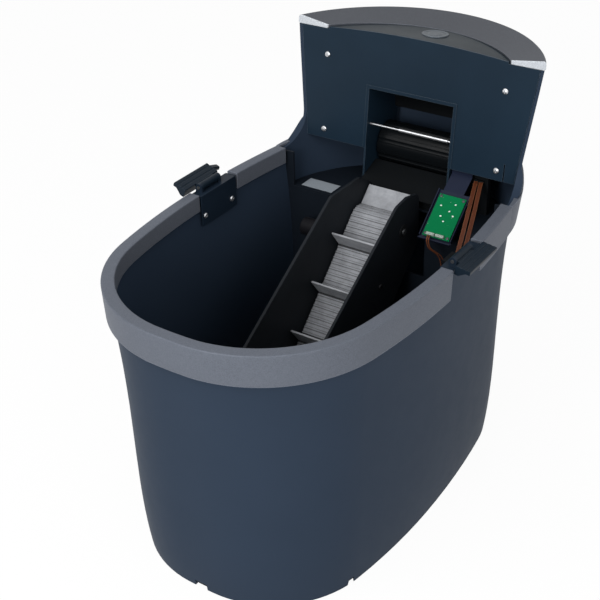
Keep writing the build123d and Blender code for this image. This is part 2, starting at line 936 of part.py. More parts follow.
drum_shaft_right = throat_half + throat_wall + bush_flange + seat + drum_shaft_stub
with BuildPart() as drum_shaft:
    with BuildSketch(drum_plane.offset(-throat_half - throat_wall - bush_flange - 1)):
        Circle(drum_shaft_radius)
    extrude(amount=throat_half + throat_wall + bush_flange + 1 + drum_shaft_right)
save(drum_shaft, "drum_shaft")


def flanged_bush(bore, outer, flange, length):
    """A plain bush with its flange at the origin, the sleeve running towards -Z."""
    with BuildPart() as bush:
        with BuildSketch():
            Circle(flange)
            Circle(bore, mode=Mode.SUBTRACT)
        extrude(amount=bush_flange)
        with BuildSketch():
            Circle(outer)
            Circle(bore, mode=Mode.SUBTRACT)
        extrude(amount=-length)
    return bush.part


with BuildPart() as drum_bushes:
    for side in (-1, 1):
        spot = outward(side * (throat_half + throat_wall), drum_y, drum_z)
        with Locations(spot.location):
            add(flanged_bush(drum_shaft_radius + shaft_clearance, drum_shaft_radius + bush_wall,
                             drum_shaft_radius + 2 * bush_wall, throat_wall))
save(drum_bushes, "drum_bushes")

with BuildPart() as drum_motor:
    face_x = throat_half + throat_wall + bush_flange + seat + drum_motor_standoff
    with BuildSketch(drum_plane.offset(face_x)):
        Circle(drum_motor_radius)
    extrude(amount=drum_motor_length)
    fillet(edges().filter_by(GeomType.CIRCLE), drum_motor_edge)
    with BuildSketch(drum_plane.offset(face_x)):
        Circle(drum_shaft_radius + shaft_clearance)
    extrude(amount=drum_shaft_stub, mode=Mode.SUBTRACT)
    with BuildSketch(drum_plane.offset(throat_half + throat_wall + 0.1)):
        with Locations((drum_motor_radius - standoff_inset, 0), (standoff_inset - drum_motor_radius, 0)):
            Circle(standoff_radius)
    extrude(amount=face_x - throat_half - throat_wall)
save(drum_motor, "drum_motor")

# ---------------------------------------------------------------- elevator
lift_dir = (0, cos(radians(lift_angle)), sin(radians(lift_angle)))
lift_plane = Plane(origin=(0, head_y, head_z), x_dir=lift_dir, z_dir=(1, 0, 0))
belt_inner = roller_radius + running_gap
belt_outer = belt_inner + belt_thickness
belt_loop = 2 * roller_pitch + 2 * pi * belt_outer
rib_step = belt_loop / (cleat_count * ribs_per_cleat)


def belt_station(distance):
    """Place and outward heading on the belt's outer face, from the head's tangent down the top run."""
    distance %= belt_loop
    half_turn = pi * belt_outer
    if distance < roller_pitch:
        return Location((-distance, belt_outer, 0), (0, 0, 0))
    distance -= roller_pitch
    if distance < half_turn:
        turn = degrees(distance / belt_outer)
        a = radians(90 + turn)
        spot = (-roller_pitch + belt_outer * cos(a), belt_outer * sin(a), 0)
        return Location(spot, (0, 0, turn))
    distance -= half_turn
    if distance < roller_pitch:
        return Location((distance - roller_pitch, -belt_outer, 0), (0, 0, 180))
    turn = degrees((distance - roller_pitch) / belt_outer)
    a = radians(270 + turn)
    return Location((belt_outer * cos(a), belt_outer * sin(a), 0), (0, 0, 180 + turn))


def stadium(radius):
    """Two half rounds about the head and the tail, joined by straights."""
    with BuildSketch() as loop:
        with Locations((-roller_pitch / 2, 0)):
            SlotCenterToCenter(roller_pitch, 2 * radius)
    return loop.sketch


with BuildPart() as cleated_belt:
    with BuildSketch(lift_plane.offset(-belt_half)):
        add(stadium(belt_outer))
        add(stadium(belt_inner), mode=Mode.SUBTRACT)
        for step in range(cleat_count * ribs_per_cleat):
            with Locations(belt_station(-first_cleat + step * rib_step)):
                if step % ribs_per_cleat:
                    Trapezoid(rib_width, rib_height + belt_sink, rib_side_angle)
                else:
                    Polygon(
                        (-cleat_base / 2, -1),
                        (cleat_base / 2, -1),
                        (cleat_tip / 2, cleat_height),
                        (-cleat_tip / 2, cleat_height),
                        align=None,
                    )
    extrude(amount=2 * belt_half)
save(cleated_belt, "cleated_belt")


def lift_x(y, z):
    """A point of the side view in the lift plane's own coordinates."""
    dy, dz = y - head_y, z - head_z
    along = dy * lift_dir[1] + dz * lift_dir[2]
    above = dz * lift_dir[1] - dy * lift_dir[2]
    return along, above


spacer_places = [(-roller_pitch * share, 0) for share in (0.25, 0.5, 0.75)]
shaft_places = [(0, 0), (-roller_pitch, 0)]
bed_top = belt_inner - running_gap
bed_low = bed_top - bed_thickness


def cheek_plate(top_edge):
    """A side plate of the lift in the Y-Z plane, under the given top edge."""
    foot = floor_level + seat
    low_line = cheek_low_edge / lift_dir[1]
    low_z = head_z - low_line + (cheek_head_rear_y - head_y) * lift_dir[2] / lift_dir[1]
    foot_y = head_y + (foot - head_z + low_line) * lift_dir[1] / lift_dir[2]
    with BuildSketch() as plate:
        with BuildLine():
            Polyline(
                (cheek_foot_front_y, foot),
                *top_edge,
                (cheek_head_rear_y, low_z),
                (foot_y, foot),
                close=True,
            )
        make_face()
        fillet(vertices().filter_by(lambda v: v.Y > foot + 1), cheek_corner)
    return plate.sketch


def lift_cheek(side, top_edge):
    """A side plate with its shaft and spacer holes."""
    start = cheek_inner if side > 0 else -cheek_inner - cheek_thickness
    with BuildPart() as cheek:
        with BuildSketch(Plane.YZ.offset(start)):
            add(cheek_plate(top_edge))
        extrude(amount=cheek_thickness)
        with BuildSketch(lift_plane.offset(start)):
            with Locations(*shaft_places):
                Circle(bush_radius)
            with Locations(*spacer_places, foot_spacer):
                Circle(spacer_screw_radius + seat)
        extrude(amount=cheek_thickness, mode=Mode.SUBTRACT)
    return cheek.part


foot_spacer = lift_x(foot_spacer_y, foot_spacer_z)
with BuildPart() as elevator_cheek_left:
    add(lift_cheek(-1, left_cheek_top))
save(elevator_cheek_left, "elevator_cheek_left")

with BuildPart() as elevator_cheek_right:
    add(lift_cheek(1, right_cheek_top))
save(elevator_cheek_right, "elevator_cheek_right")

with BuildPart() as cheek_spacers:
    with BuildSketch(lift_plane.offset(-cheek_inner)):
        with Locations(*spacer_places, foot_spacer):
            Circle(spacer_radius)
    extrude(amount=2 * cheek_inner)
save(cheek_spacers, "cheek_spacers")

with BuildPart() as spacer_screws:
    for side in (-1, 1):
        plane = Plane(
            origin=lift_plane.origin + Vector(side * (cheek_inner + cheek_thickness), 0, 0),
            x_dir=lift_dir,
            z_dir=(side, 0, 0),
        )
        places = [(x, side * v) for x, v in (*spacer_places, foot_spacer)]
        add(place(pan_screw(spacer_radius, spacer_screw_radius, cheek_thickness), plane, places))
save(spacer_screws, "spacer_screws")

with BuildPart() as slider_bed:
    with BuildSketch(lift_plane.offset(seat - cheek_inner)):
        bed_length = roller_pitch - 2 * (roller_radius + bed_end_gap)
        with Locations((-roller_pitch / 2, (bed_top + bed_low) / 2)):
            Rectangle(bed_length, bed_thickness)
    extrude(amount=2 * (cheek_inner - seat))
save(slider_bed, "slider_bed")


def roller(centre):
    """A roller with end grooves, bored for its shaft."""
    with BuildPart() as body:
        with BuildSketch(lift_plane.offset(-belt_half)):
            with Locations(centre):
                Circle(roller_radius)
                Circle(shaft_radius, mode=Mode.SUBTRACT)
        extrude(amount=2 * belt_half)
    return body.part


def shaft(centre, left, right):
    """A shaft across the lift."""
    with BuildPart() as body:
        with BuildSketch(lift_plane.offset(-left)):
            with Locations(centre):
                Circle(shaft_radius)
        extrude(amount=left + right)
        chamfer(edges().filter_by(GeomType.CIRCLE), shaft_chamfer)
    return body.part


bush_face = cheek_inner + cheek_thickness + bush_flange
with BuildPart() as head_roller:
    add(roller(shaft_places[0]))
save(head_roller, "head_roller")

with BuildPart() as tail_roller:
    add(roller(shaft_places[1]))
save(tail_roller, "tail_roller")

with BuildPart() as head_shaft:
    add(shaft(shaft_places[0], bush_face + gear_gap + gear_width + 1, bush_face + 2))
save(head_shaft, "head_shaft")

with BuildPart() as tail_shaft:
    add(shaft(shaft_places[1], bush_face + 2, bush_face + 2))
save(tail_shaft, "tail_shaft")

with BuildPart() as shaft_bushes:
    for along, _ in shaft_places:
        spot = lift_plane.from_local_coords((along, 0, 0))
        for side in (-1, 1):
            plane = outward(side * (cheek_inner + cheek_thickness), spot.Y, spot.Z)
            with Locations(plane.location):
                add(flanged_bush(shaft_radius + shaft_clearance, bush_radius,
                                 bush_flange_radius, cheek_thickness))
save(shaft_bushes, "shaft_bushes")


def spur_gear(teeth, bore, phase):
    """A spur gear with straight-sided teeth, a tooth pointing along the phase angle."""
    pitch = gear_module * teeth / 2
    root = pitch - gear_dedendum * gear_module
    tip = pitch + gear_addendum * gear_module
    pitch_half = pi * gear_module / 4 - gear_backlash / 2
    slope = tan(radians(pressure_angle))
    with BuildPart() as gear:
        with BuildSketch():
            Circle(root + 0.1)
            with PolarLocations(0, teeth, phase):
                Polygon(
                    (root - tooth_sink, -pitch_half - (pitch - root) * slope),
                    (tip, -pitch_half + (tip - pitch) * slope),
                    (tip, pitch_half - (tip - pitch) * slope),
                    (root - tooth_sink, pitch_half + (pitch - root) * slope),
                    align=None,
                )
            Circle(bore, mode=Mode.SUBTRACT)
        extrude(amount=gear_width)
    return gear.part


centre_distance = gear_module * (gear_teeth + pinion_teeth) / 2
pinion_y = head_y + centre_distance * cos(radians(motor_angle))
pinion_z = head_z + centre_distance * sin(radians(motor_angle))
gear_x = -bush_face - gear_gap - gear_width
with BuildPart() as drive_gear:
    with Locations(Plane(origin=(gear_x, head_y, head_z), x_dir=(0, 1, 0), z_dir=(1, 0, 0)).location):
        add(spur_gear(gear_teeth, shaft_radius, motor_angle))
save(drive_gear, "drive_gear")

with BuildPart() as motor_pinion:
    half_step = 180 / pinion_teeth
    with Locations(Plane(origin=(gear_x, pinion_y, pinion_z), x_dir=(0, 1, 0), z_dir=(1, 0, 0)).location):
        add(spur_gear(pinion_teeth, motor_shaft_radius, motor_angle + 180 + half_step))
save(motor_pinion, "motor_pinion")

motor_face = gear_x - gear_gap
pinion_plane = Plane(origin=(0, pinion_y, pinion_z), x_dir=(0, 1, 0), z_dir=(1, 0, 0))
with BuildPart() as motor_shaft:
    with BuildSketch(pinion_plane.offset(motor_face - bracket_thickness - motor_shaft_engage)):
        Circle(motor_shaft_radius)
    extrude(amount=bracket_thickness + motor_shaft_engage + gear_gap + gear_width + 1)
save(motor_shaft, "motor_shaft")

with BuildPart() as motor_bracket:
    with BuildSketch(pinion_plane.offset(motor_face - bracket_thickness)):
        RectangleRounded(bracket_length, bracket_height, post_radius)
        Circle(motor_shaft_radius + 1.5, mode=Mode.SUBTRACT)
    extrude(amount=bracket_thickness)
    with BuildSketch(pinion_plane.offset(motor_face)):
        with Locations(*bracket_posts):
            Circle(post_radius)
    extrude(amount=-cheek_inner - cheek_thickness - motor_face)
save(motor_bracket, "motor_bracket")

with BuildPart() as belt_gearmotor:
    mount_face = motor_face - bracket_thickness
    with BuildSketch(pinion_plane.offset(mount_face)):
        Circle(gearbox_radius)
    extrude(amount=-gearbox_length)
    with BuildSketch(pinion_plane.offset(mount_face - gearbox_length)):
        Circle(motor_radius)
    extrude(amount=-motor_length)
    fillet(faces().sort_by(Axis.X)[0].edges(), 2)
    with BuildSketch(pinion_plane.offset(mount_face)):
        Circle(motor_shaft_radius + shaft_clearance)
    extrude(amount=-motor_shaft_engage, mode=Mode.SUBTRACT)
save(belt_gearmotor, "belt_gearmotor")

# ---------------------------------------------------------------- sensor board on its tray
board_up = (0, cos(radians(board_angle)), sin(radians(board_angle)))
board_plane = Plane(
    origin=(board_x + board_width / 2, board_y, board_z),
    x_dir=(1, 0, 0),
    z_dir=(0, -board_up[2], board_up[1]),
)
board_holes = [
    (side * (board_width / 2 - board_screw_inset), along)
    for side in (-1, 1)
    for along in (board_screw_inset, board_length - board_screw_inset)
]


def board_side(along, above):
    """A point beside the board's left edge, in the Y-Z plane."""
    return (
        board_y + along * board_up[1] - above * board_up[2],
        board_z + along * board_up[2] + above * board_up[1],
    )


def panel_back(height, gap):
    """A point behind the panel in the Y-Z plane."""
    return panel_y(height) + panel_thickness / cos(radians(panel_lean)) + gap, height


with BuildPart() as sensor_board:
    with BuildSketch(board_plane):
        with Locations((0, board_length / 2)):
            Rectangle(board_width, board_length)
        with Locations(*board_holes):
            Circle(board_screw_shank + seat, mode=Mode.SUBTRACT)
    extrude(amount=-board_thickness)
save(sensor_board, "sensor_board")

with BuildPart() as board_tray:
    tray_depth = -board_thickness - board_lift - tray_sheet / 2
    tray_end = board_length + tray_over
    tray_wide = tray_left_margin + board_width + tray_right_margin
    with BuildSketch(Plane.YZ.offset(board_x - tray_left_margin)):
        with BuildLine():
            Polyline(
                board_side(-tray_foot, tray_depth + tray_lip),
                board_side(-tray_foot, tray_depth),
                board_side(tray_end, tray_depth),
            )
        trace(line_width=tray_sheet)
    extrude(amount=tray_wide)
    with BuildSketch(Plane.YZ.offset(board_x)):
        with BuildLine():
            hook = panel_back(rim_height - tray_foot, tray_sheet)
            Polyline(
                board_side(tray_end, tray_depth),
                hook,
                panel_back(rim_height + panel_gap_above_rim + tray_tab_rise, tray_sheet),
            )
        trace(line_width=tray_sheet)
    extrude(amount=board_width - tray_tab_inset)
    with BuildSketch(board_plane.offset(-board_thickness)):
        with Locations(*board_holes):
            Circle(board_screw_head)
            Circle(board_screw_shank + seat, mode=Mode.SUBTRACT)
    extrude(amount=-board_lift)
    with BuildSketch(board_plane.offset(tray_depth)):
        for edge, way in (
            (-board_width / 2 - tray_left_margin, 1),
            (board_width / 2 + tray_right_margin, -1),
        ):
            with Locations((edge + way * tray_sheet / 2, tray_end / 2)):
                Rectangle(tray_sheet, tray_end)
    extrude(amount=tray_lip)
save(board_tray, "board_tray")

with BuildPart() as board_screws:
    add(place(pan_screw(board_screw_head, board_screw_shank, board_thickness + board_lift - 1),
              board_plane, board_holes))
save(board_screws, "board_screws")

with BuildPart() as board_connectors:
    with BuildSketch(board_plane):
        with Locations(*[(x, connector_inset) for x in connector_xs]):
            Rectangle(connector_width, connector_depth)
    extrude(amount=connector_height)
save(board_connectors, "board_connectors")

with BuildPart() as board_chips:
    with BuildSketch(board_plane):
        with Locations(*chip_places):
            Rectangle(chip_width, chip_length)
    extrude(amount=chip_height)
save(board_chips, "board_chips")

# ---------------------------------------------------------------- harness
def wire_path(points, share=0.45):
    """A polyline whose corners are arcs as large as their two runs allow."""
    nodes = [Vector(*p) for p in points]
    radii = []
    for before, here, after in zip(nodes, nodes[1:], nodes[2:]):
        turn = radians((here - before).get_angle(after - here))
        shorter = min((here - before).length, (after - here).length)
        radii.append(share * shorter / tan(turn / 2))
    return radii


ribbon_ends = []
with BuildPart() as ribbon_cables:
    for start, end_x, heights in ribbon_routes:
        end = (end_x, switch_y + switch_length + ribbon_reach)
        run = hypot(end[0] - start[0], end[1] - start[1])
        heading = Vector(end[0] - start[0], end[1] - start[1], 0).normalized()
        side_plane = Plane(
            origin=(start[0], start[1], 0), x_dir=heading, z_dir=heading.cross(Vector(0, 0, 1))
        )
        steps = len(heights) - 1
        points = [(run * i / steps, height) for i, height in enumerate(heights)]
        radii = wire_path([(u, v, 0) for u, v in points])
        print("ribbon radii", [round(r) for r in radii])
        with BuildSketch(side_plane):
            with BuildLine():
                route = FilletPolyline(*points, radius=radii)
            trace(line_width=ribbon_thickness)
        extrude(amount=ribbon_width / 2, both=True)
        print("ribbon length", round(route.length, 1))
        ribbon_ends.append((side_plane, points))
save(ribbon_cables, "ribbon_cables")

with BuildPart() as ribbon_sockets:
    for side_plane, points in ribbon_ends:
        for u, v, way in ((*points[0], -1), (*points[-1], 1)):
            with BuildSketch(side_plane):
                with Locations((u + way * (plug_length / 2 + plug_play), v)):
                    Rectangle(plug_length, plug_thickness)
            extrude(amount=ribbon_width / 2 + plug_margin, both=True)
    split(bisect_by=Plane.XZ.offset(-header_front_y - 2), keep=Keep.TOP)
    split(bisect_by=Plane.XZ.offset(-switch_y - switch_length - seat), keep=Keep.BOTTOM)
    with BuildSketch(Plane.XY.offset(shelf_level + seat)):
        with Locations((header_x, header_front_y + header_depth / 2)):
            Rectangle(header_width, header_depth)
    extrude(amount=header_top - shelf_level)
save(ribbon_sockets, "ribbon_sockets")

with BuildPart() as board_wires:
    for offset, start in zip(wire_offsets, wire_starts):
        begin = board_plane.from_local_coords((start, 0.5, 3.0))
        points = [
            begin + Vector(0, -0.2, 0.2),
            begin + Vector(0.5, -5.5, -5.0),
            begin + Vector(2.0, -3.0, -19.0),
            Vector(grommet_x + offset * 2, board_y + 14, (board_z + grommet_z) / 2 - 4),
            Vector(grommet_x + offset, bulkhead_y - 14, grommet_z + 3),
            Vector(grommet_x + offset, bulkhead_y + bulkhead_thickness, grommet_z),
        ]
        radii = wire_path([tuple(p) for p in points])
        print("wire radii", [round(r, 1) for r in radii])
        with BuildLine():
            route = FilletPolyline(*points, radius=radii)
        with BuildSketch(Plane(origin=route @ 0, z_dir=route % 0)):
            Circle(wire_radius)
        sweep(path=route)
        print("wire volume ratio", round(board_wires.part.volume / (pi * wire_radius**2 * route.length), 4))
save(board_wires, "board_wires")

# ---------------------------------------------------------------- latches
def latch_plane(side, y, tilt=0.0):
    """A plane across the pivot at the given y: local x points outwards, raised by the tilt."""
    across = (side * cos(radians(tilt)), 0, sin(radians(tilt)))
    return Plane(origin=(side * pivot_x, y, pivot_z), x_dir=across, z_dir=(0, -side, 0))


def latch_bracket(side):
    """The fixed bracket screwed inside the wall, with two ears for the pivot pin."""
    length = bracket_rear_y - bracket_front_y
    flange_z = wall_top + seat - pivot_z
    inner = latch_plate_x - pivot_x
    with BuildPart() as bracket:
        with BuildSketch(latch_plane(side, bracket_front_y)):
            with BuildLine():
                Polyline(
                    (inner, latch_plate_foot - pivot_z),
                    (inner, flange_z + bracket_plate),
                    (knuckle_radius, flange_z + bracket_plate),
                    (knuckle_radius, flange_z),
                    (inner + bracket_plate, flange_z),
                    (inner + bracket_plate, latch_plate_foot - pivot_z),
                    close=True,
                )
            make_face()
        extrude(amount=-side * length)
        for y in (ear_front_y, ear_rear_y - ear_thickness):
            with BuildSketch(latch_plane(side, y)):
                Circle(knuckle_radius)
                with Locations((0, flange_z / 2)):
                    Rectangle(2 * knuckle_radius, -flange_z)
                Circle(pin_radius + shaft_clearance, mode=Mode.SUBTRACT)
            extrude(amount=-side * ear_thickness)
        with BuildSketch(outward(side * latch_plate_x, 0, latch_screw_z)):
            with Locations(*[(y, 0) for y in latch_screw_ys]):
                Circle(latch_screw_shank + seat)
        extrude(amount=bracket_plate, mode=Mode.SUBTRACT)
    return bracket.part


def latch_lever(side, start_y, tilt, finger):
    """The swinging clip, hung between the bracket's ears."""
    barrel_start = ear_front_y + ear_thickness + seat
    barrel_length = ear_rear_y - 2 * ear_thickness - ear_front_y - 2 * seat
    turned = latch_plane(side, start_y, tilt)
    with BuildPart() as lever:
        with BuildSketch(turned):
            with BuildLine():
                Polyline(
                    (lever_root, 0),
                    (lever_reach, 0),
                    (lever_reach, -lever_edge),
                    (lever_reach - lever_edge, -lever_edge),
                    (lever_root + lever_edge, -lever_thickness),
                    (lever_root, -lever_thickness),
                    close=True,
                )
            make_face()
            fillet(vertices(), lever_edge_radius)
            for share in lever_groove_shares:
                with Locations((lever_root + share * (lever_reach - lever_root), 0)):
                    Rectangle(lever_groove, lever_groove / 2, mode=Mode.SUBTRACT)
        extrude(amount=-side * lever_length)
        with BuildSketch(latch_plane(side, barrel_start, tilt)):
            Circle(knuckle_radius)
            with Locations((lever_root / 2 + 0.5, -lever_neck_drop)):
                Rectangle(lever_root + 1, lever_neck)
            Circle(pin_radius + shaft_clearance, mode=Mode.SUBTRACT)
        extrude(amount=-side * barrel_length)
        if finger:
            with BuildSketch(latch_plane(side, start_y + lever_length - 1, tilt)):
                with Locations((lever_reach - finger_size, -finger_size / 2)):
                    RectangleRounded(finger_size, finger_size - 1, 2)
            extrude(amount=finger_length, dir=(0, finger_length, -finger_drop))
    return lever.part


for side, name, start_y, tilt, finger in (
    (-1, "left", left_lever_y, left_lever_tilt, True),
    (1, "right", right_lever_y, right_lever_tilt, False),
):
    with BuildPart() as bracket:
        add(latch_bracket(side))
    save(bracket, "latch_bracket_" + name)
    with BuildPart() as lever:
        add(latch_lever(side, start_y, tilt, finger))
    save(lever, "latch_lever_" + name)

with BuildPart() as latch_pins:
    for side in (-1, 1):
        with BuildSketch(latch_plane(side, ear_front_y - 1)):
            Circle(pin_radius)
        extrude(amount=-side * (ear_rear_y - ear_front_y + 2))
save(latch_pins, "latch_pins")

with BuildPart() as latch_screws:
    for side in (-1, 1):
        plane = Plane(
            origin=(side * latch_plate_x, 0, latch_screw_z), x_dir=(0, 1, 0), z_dir=(-side, 0, 0)
        )
        add(place(pan_screw(latch_screw_head, latch_screw_shank, latch_screw_grip), plane,
                  [(y, 0) for y in latch_screw_ys]))
save(latch_screws, "latch_screws")

with BuildPart() as latch_switch:
    with BuildSketch(Plane.XY.offset(switch_z)):
        with Locations((switch_x + switch_width / 2, switch_y + switch_length / 2)):
            Rectangle(switch_width, switch_length)
    extrude(amount=switch_height)
    with BuildSketch(Plane.XY.offset(switch_z + switch_height)):
        with Locations((switch_x + switch_width - button_width, switch_y + switch_length / 2)):
            Rectangle(button_width, button_length)
    extrude(amount=button_height)
save(latch_switch, "latch_switch")

# ---------------------------------------------------------------- rear service plate
service_top_share = (service_z + service_height / 2) / waist_height
rear_radius = tower_radius - base_inset + (base_inset - waist_inset) * service_top_share
rear_face = tower_centre_y + rear_radius + service_proud
service_flange = rear_radius - sqrt(rear_radius**2 - (service_width / 2) ** 2) + service_lap
with BuildPart() as service_plate:
    with BuildSketch(Plane.XZ.offset(-rear_face)):
        with Locations((0, service_z)):
            RectangleRounded(service_width, service_height, service_corner)
    extrude(amount=service_flange + service_proud)
    add(tub_form(seat), mode=Mode.SUBTRACT)
    with BuildSketch(Plane.XZ.offset(-rear_face)):
        with Locations((0, service_z)):
            Rectangle(
                service_width - 2 * (service_side_margin + seat),
                service_height - 2 * (service_end_margin + seat),
            )
    extrude(amount=service_depth + service_proud)
    with BuildSketch(Plane.XZ.offset(-rear_face)):
        with Locations((inlet_x, service_z)):
            RectangleRounded(inlet_width, inlet_height, inlet_corner)
        with Locations((rocker_x, service_z)):
            Rectangle(rocker_width + 2 * seat, rocker_height + 2 * seat)
    extrude(amount=service_depth + service_proud, mode=Mode.SUBTRACT)
save(service_plate, "service_plate")

with BuildPart() as power_inlet:
    with BuildSketch(Plane.XZ.offset(-rear_face)):
        with Locations((inlet_x, service_z)):
            RectangleRounded(inlet_width - 2 * seat, inlet_height - 2 * seat, inlet_corner - seat)
            RectangleRounded(
                inlet_width - 2 * inlet_wall,
                inlet_height - 2 * inlet_wall,
                inlet_corner - 1,
                mode=Mode.SUBTRACT,
            )
    extrude(amount=service_depth + inlet_depth)
    with BuildSketch(Plane.XZ.offset(-rear_face + service_depth + inlet_depth)):
        with Locations((inlet_x, service_z)):
            RectangleRounded(inlet_width - 2 * seat, inlet_height - 2 * seat, inlet_corner - seat)
    extrude(amount=inlet_back)
    with BuildSketch(Plane.XZ.offset(-rear_face + service_depth + inlet_depth)):
        with Locations(*[(inlet_x + x, service_z + z) for x, z in inlet_pins]):
            Rectangle(inlet_pin_width, inlet_pin_height)
    extrude(amount=-service_depth - 2)
save(power_inlet, "power_inlet")

with BuildPart() as switch_rocker:
    with BuildSketch(Plane.YZ.offset(rocker_x - rocker_width / 2 + seat)):
        with BuildLine():
            Polyline(
                (rear_face, service_z - rocker_height / 2 + rocker_edge),
                (rear_face + rocker_rise, service_z),
                (rear_face, service_z + rocker_height / 2 - rocker_edge),
                (rear_face - rocker_depth, service_z + rocker_height / 2 - rocker_taper),
                (rear_face - rocker_depth, service_z - rocker_height / 2 + rocker_taper),
                close=True,
            )
        make_face()
    extrude(amount=rocker_width - 2 * seat)
save(switch_rocker, "switch_rocker")
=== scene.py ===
"""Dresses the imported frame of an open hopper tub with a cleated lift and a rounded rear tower.

Every piece stands in the frame's own place, in metres. The operators below each make or finish
one piece or one group of like pieces, and main() calls them in order.
"""

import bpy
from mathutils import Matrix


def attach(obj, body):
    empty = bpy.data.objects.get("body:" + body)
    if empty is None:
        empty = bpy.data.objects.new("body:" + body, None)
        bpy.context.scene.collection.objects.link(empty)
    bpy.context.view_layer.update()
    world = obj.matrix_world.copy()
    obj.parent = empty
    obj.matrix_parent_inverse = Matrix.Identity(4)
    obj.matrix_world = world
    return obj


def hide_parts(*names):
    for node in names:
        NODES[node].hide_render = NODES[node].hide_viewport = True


bl_info = {
    "name": "Chip Hopper and Lift",
    "version": (1, 0, 0),
    "blender": (4, 5, 0),
    "location": "3D View > Sidebar > Hopper",
    "description": "Finishes the hopper tub, its lift, its electronics and its tower",
    "category": "Object",
}

from math import cos, pi, radians, sin, sqrt

import bmesh
import bpy
from bpy.props import FloatProperty, FloatVectorProperty, IntProperty, PointerProperty
from mathutils import Matrix, Vector

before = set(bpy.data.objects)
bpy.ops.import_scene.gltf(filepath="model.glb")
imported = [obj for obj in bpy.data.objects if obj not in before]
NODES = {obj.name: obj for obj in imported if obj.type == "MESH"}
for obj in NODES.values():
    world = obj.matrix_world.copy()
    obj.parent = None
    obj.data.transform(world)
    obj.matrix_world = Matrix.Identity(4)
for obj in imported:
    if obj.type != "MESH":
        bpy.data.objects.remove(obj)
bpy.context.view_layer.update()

WELD_DISTANCE = 0.00002
CREASE_ANGLE = radians(28)
PANEL_LEAN = radians(6.48)
BOARD_SLOPE = radians(40)


# ---------------------------------------------------------------- sizes and colours
class TubSettings(bpy.types.PropertyGroup):
    """Colours and grain of the tub, its rim and its tower"""

    shell_colour: FloatVectorProperty(
        name="Shell colour", description="Moulded shell of the tub and tower", subtype="COLOR",
        size=3, min=0, max=1, default=(0.022, 0.034, 0.055),
    )
    panel_colour: FloatVectorProperty(
        name="Panel colour", description="Flat front panel of the tower", subtype="COLOR",
        size=3, min=0, max=1, default=(0.009, 0.020, 0.034),
    )
    rim_colour: FloatVectorProperty(
        name="Rim colour", description="Metallic paint of the rim", subtype="COLOR",
        size=3, min=0, max=1, default=(0.110, 0.122, 0.148),
    )
    cap_colour: FloatVectorProperty(
        name="Cap colour", description="Metallic paint of the tower's cap", subtype="COLOR",
        size=3, min=0, max=1, default=(0.078, 0.084, 0.098),
    )
    grain_size: FloatProperty(
        name="Grain size", description="Pitch of the moulded surface's fine grain",
        subtype="DISTANCE", unit="LENGTH", min=0.0002, max=0.01, default=0.0011,
    )


class LiftSettings(bpy.types.PropertyGroup):
    """Colours of the lift's belt and cheeks"""

    belt_colour: FloatVectorProperty(
        name="Belt colour", description="Ribbed and cleated belt", subtype="COLOR",
        size=3, min=0, max=1, default=(0.28, 0.29, 0.31),
    )
    cheek_colour: FloatVectorProperty(
        name="Cheek colour", description="Side plates of the lift", subtype="COLOR",
        size=3, min=0, max=1, default=(0.009, 0.011, 0.014),
    )


class BoardSettings(bpy.types.PropertyGroup):
    """Colours of the sensor board and its cables"""

    board_colour: FloatVectorProperty(
        name="Board colour", description="Solder mask of the sensor board", subtype="COLOR",
        size=3, min=0, max=1, default=(0.001, 0.145, 0.048),
    )
    cable_colour: FloatVectorProperty(
        name="Cable colour", description="Flat cables and wires", subtype="COLOR",
        size=3, min=0, max=1, default=(0.085, 0.022, 0.008),
    )
    pin_count: IntProperty(
        name="Header pins", description="Pins on each header block of the board",
        min=2, max=20, default=6,
    )
    pin_side: FloatProperty(
        name="Pin side", description="Width of a header pin",
        subtype="DISTANCE", unit="LENGTH", min=0.0002, max=0.003, default=0.0012,
    )
    pin_height: FloatProperty(
        name="Pin height", description="Height of a header pin above its block",
        subtype="DISTANCE", unit="LENGTH", min=0.0002, max=0.006, default=0.0016,
    )


class StageSettings(bpy.types.PropertyGroup):
    """Light and background"""

    key_power: FloatProperty(
        name="Key power", description="Power of the large soft key light", subtype="POWER",
        unit="POWER", min=0, max=500, default=22.0,
    )
    front_power: FloatProperty(
        name="Front power", description="Power of the low light in front of the lift", subtype="POWER",
        unit="POWER", min=0, max=500, default=26.0,
    )
    fill_power: FloatProperty(
        name="Fill power", description="Power of the fill light", subtype="POWER",
        unit="POWER", min=0, max=500, default=12.0,
    )
    sky_strength: FloatProperty(
        name="Sky strength", description="Even light from all round", min=0, max=2, default=0.55,
    )


# ---------------------------------------------------------------- finishes
def tree_of(name):
    """A new node material, its tree and its Principled shader."""
    material = bpy.data.materials.new(name)
    material.use_nodes = True
    tree = material.node_tree
    return material, tree, tree.nodes["Principled BSDF"]


def node(tree, kind, **values):
    """A shader node with its plain settings and its unlinked sockets set."""
    made = tree.nodes.new(kind)
    for key, value in values.items():
        if hasattr(made, key):
            setattr(made, key, value)
        else:
            made.inputs[key.replace("_", " ")].default_value = value
    return made


def position(tree, scale=(1, 1, 1), turn=(0, 0, 0)):
    """Object coordinates through a Mapping node."""
    coords = tree.nodes.new("ShaderNodeTexCoord")
    mapping = tree.nodes.new("ShaderNodeMapping")
    mapping.inputs["Scale"].default_value = scale
    mapping.inputs["Rotation"].default_value = turn
    tree.links.new(coords.outputs["Object"], mapping.inputs["Vector"])
    return mapping.outputs["Vector"]


def between(tree, factor, low, high, low_at=0.0, high_at=1.0):
    """A colour ramp from low to high, driven by factor."""
    ramp = tree.nodes.new("ShaderNodeValToRGB")
    ramp.color_ramp.elements[0].position = low_at
    ramp.color_ramp.elements[1].position = high_at
    ramp.color_ramp.elements[0].color = (*low, 1)
    ramp.color_ramp.elements[1].color = (*high, 1)
    tree.links.new(factor, ramp.inputs["Fac"])
    return ramp.outputs["Color"]


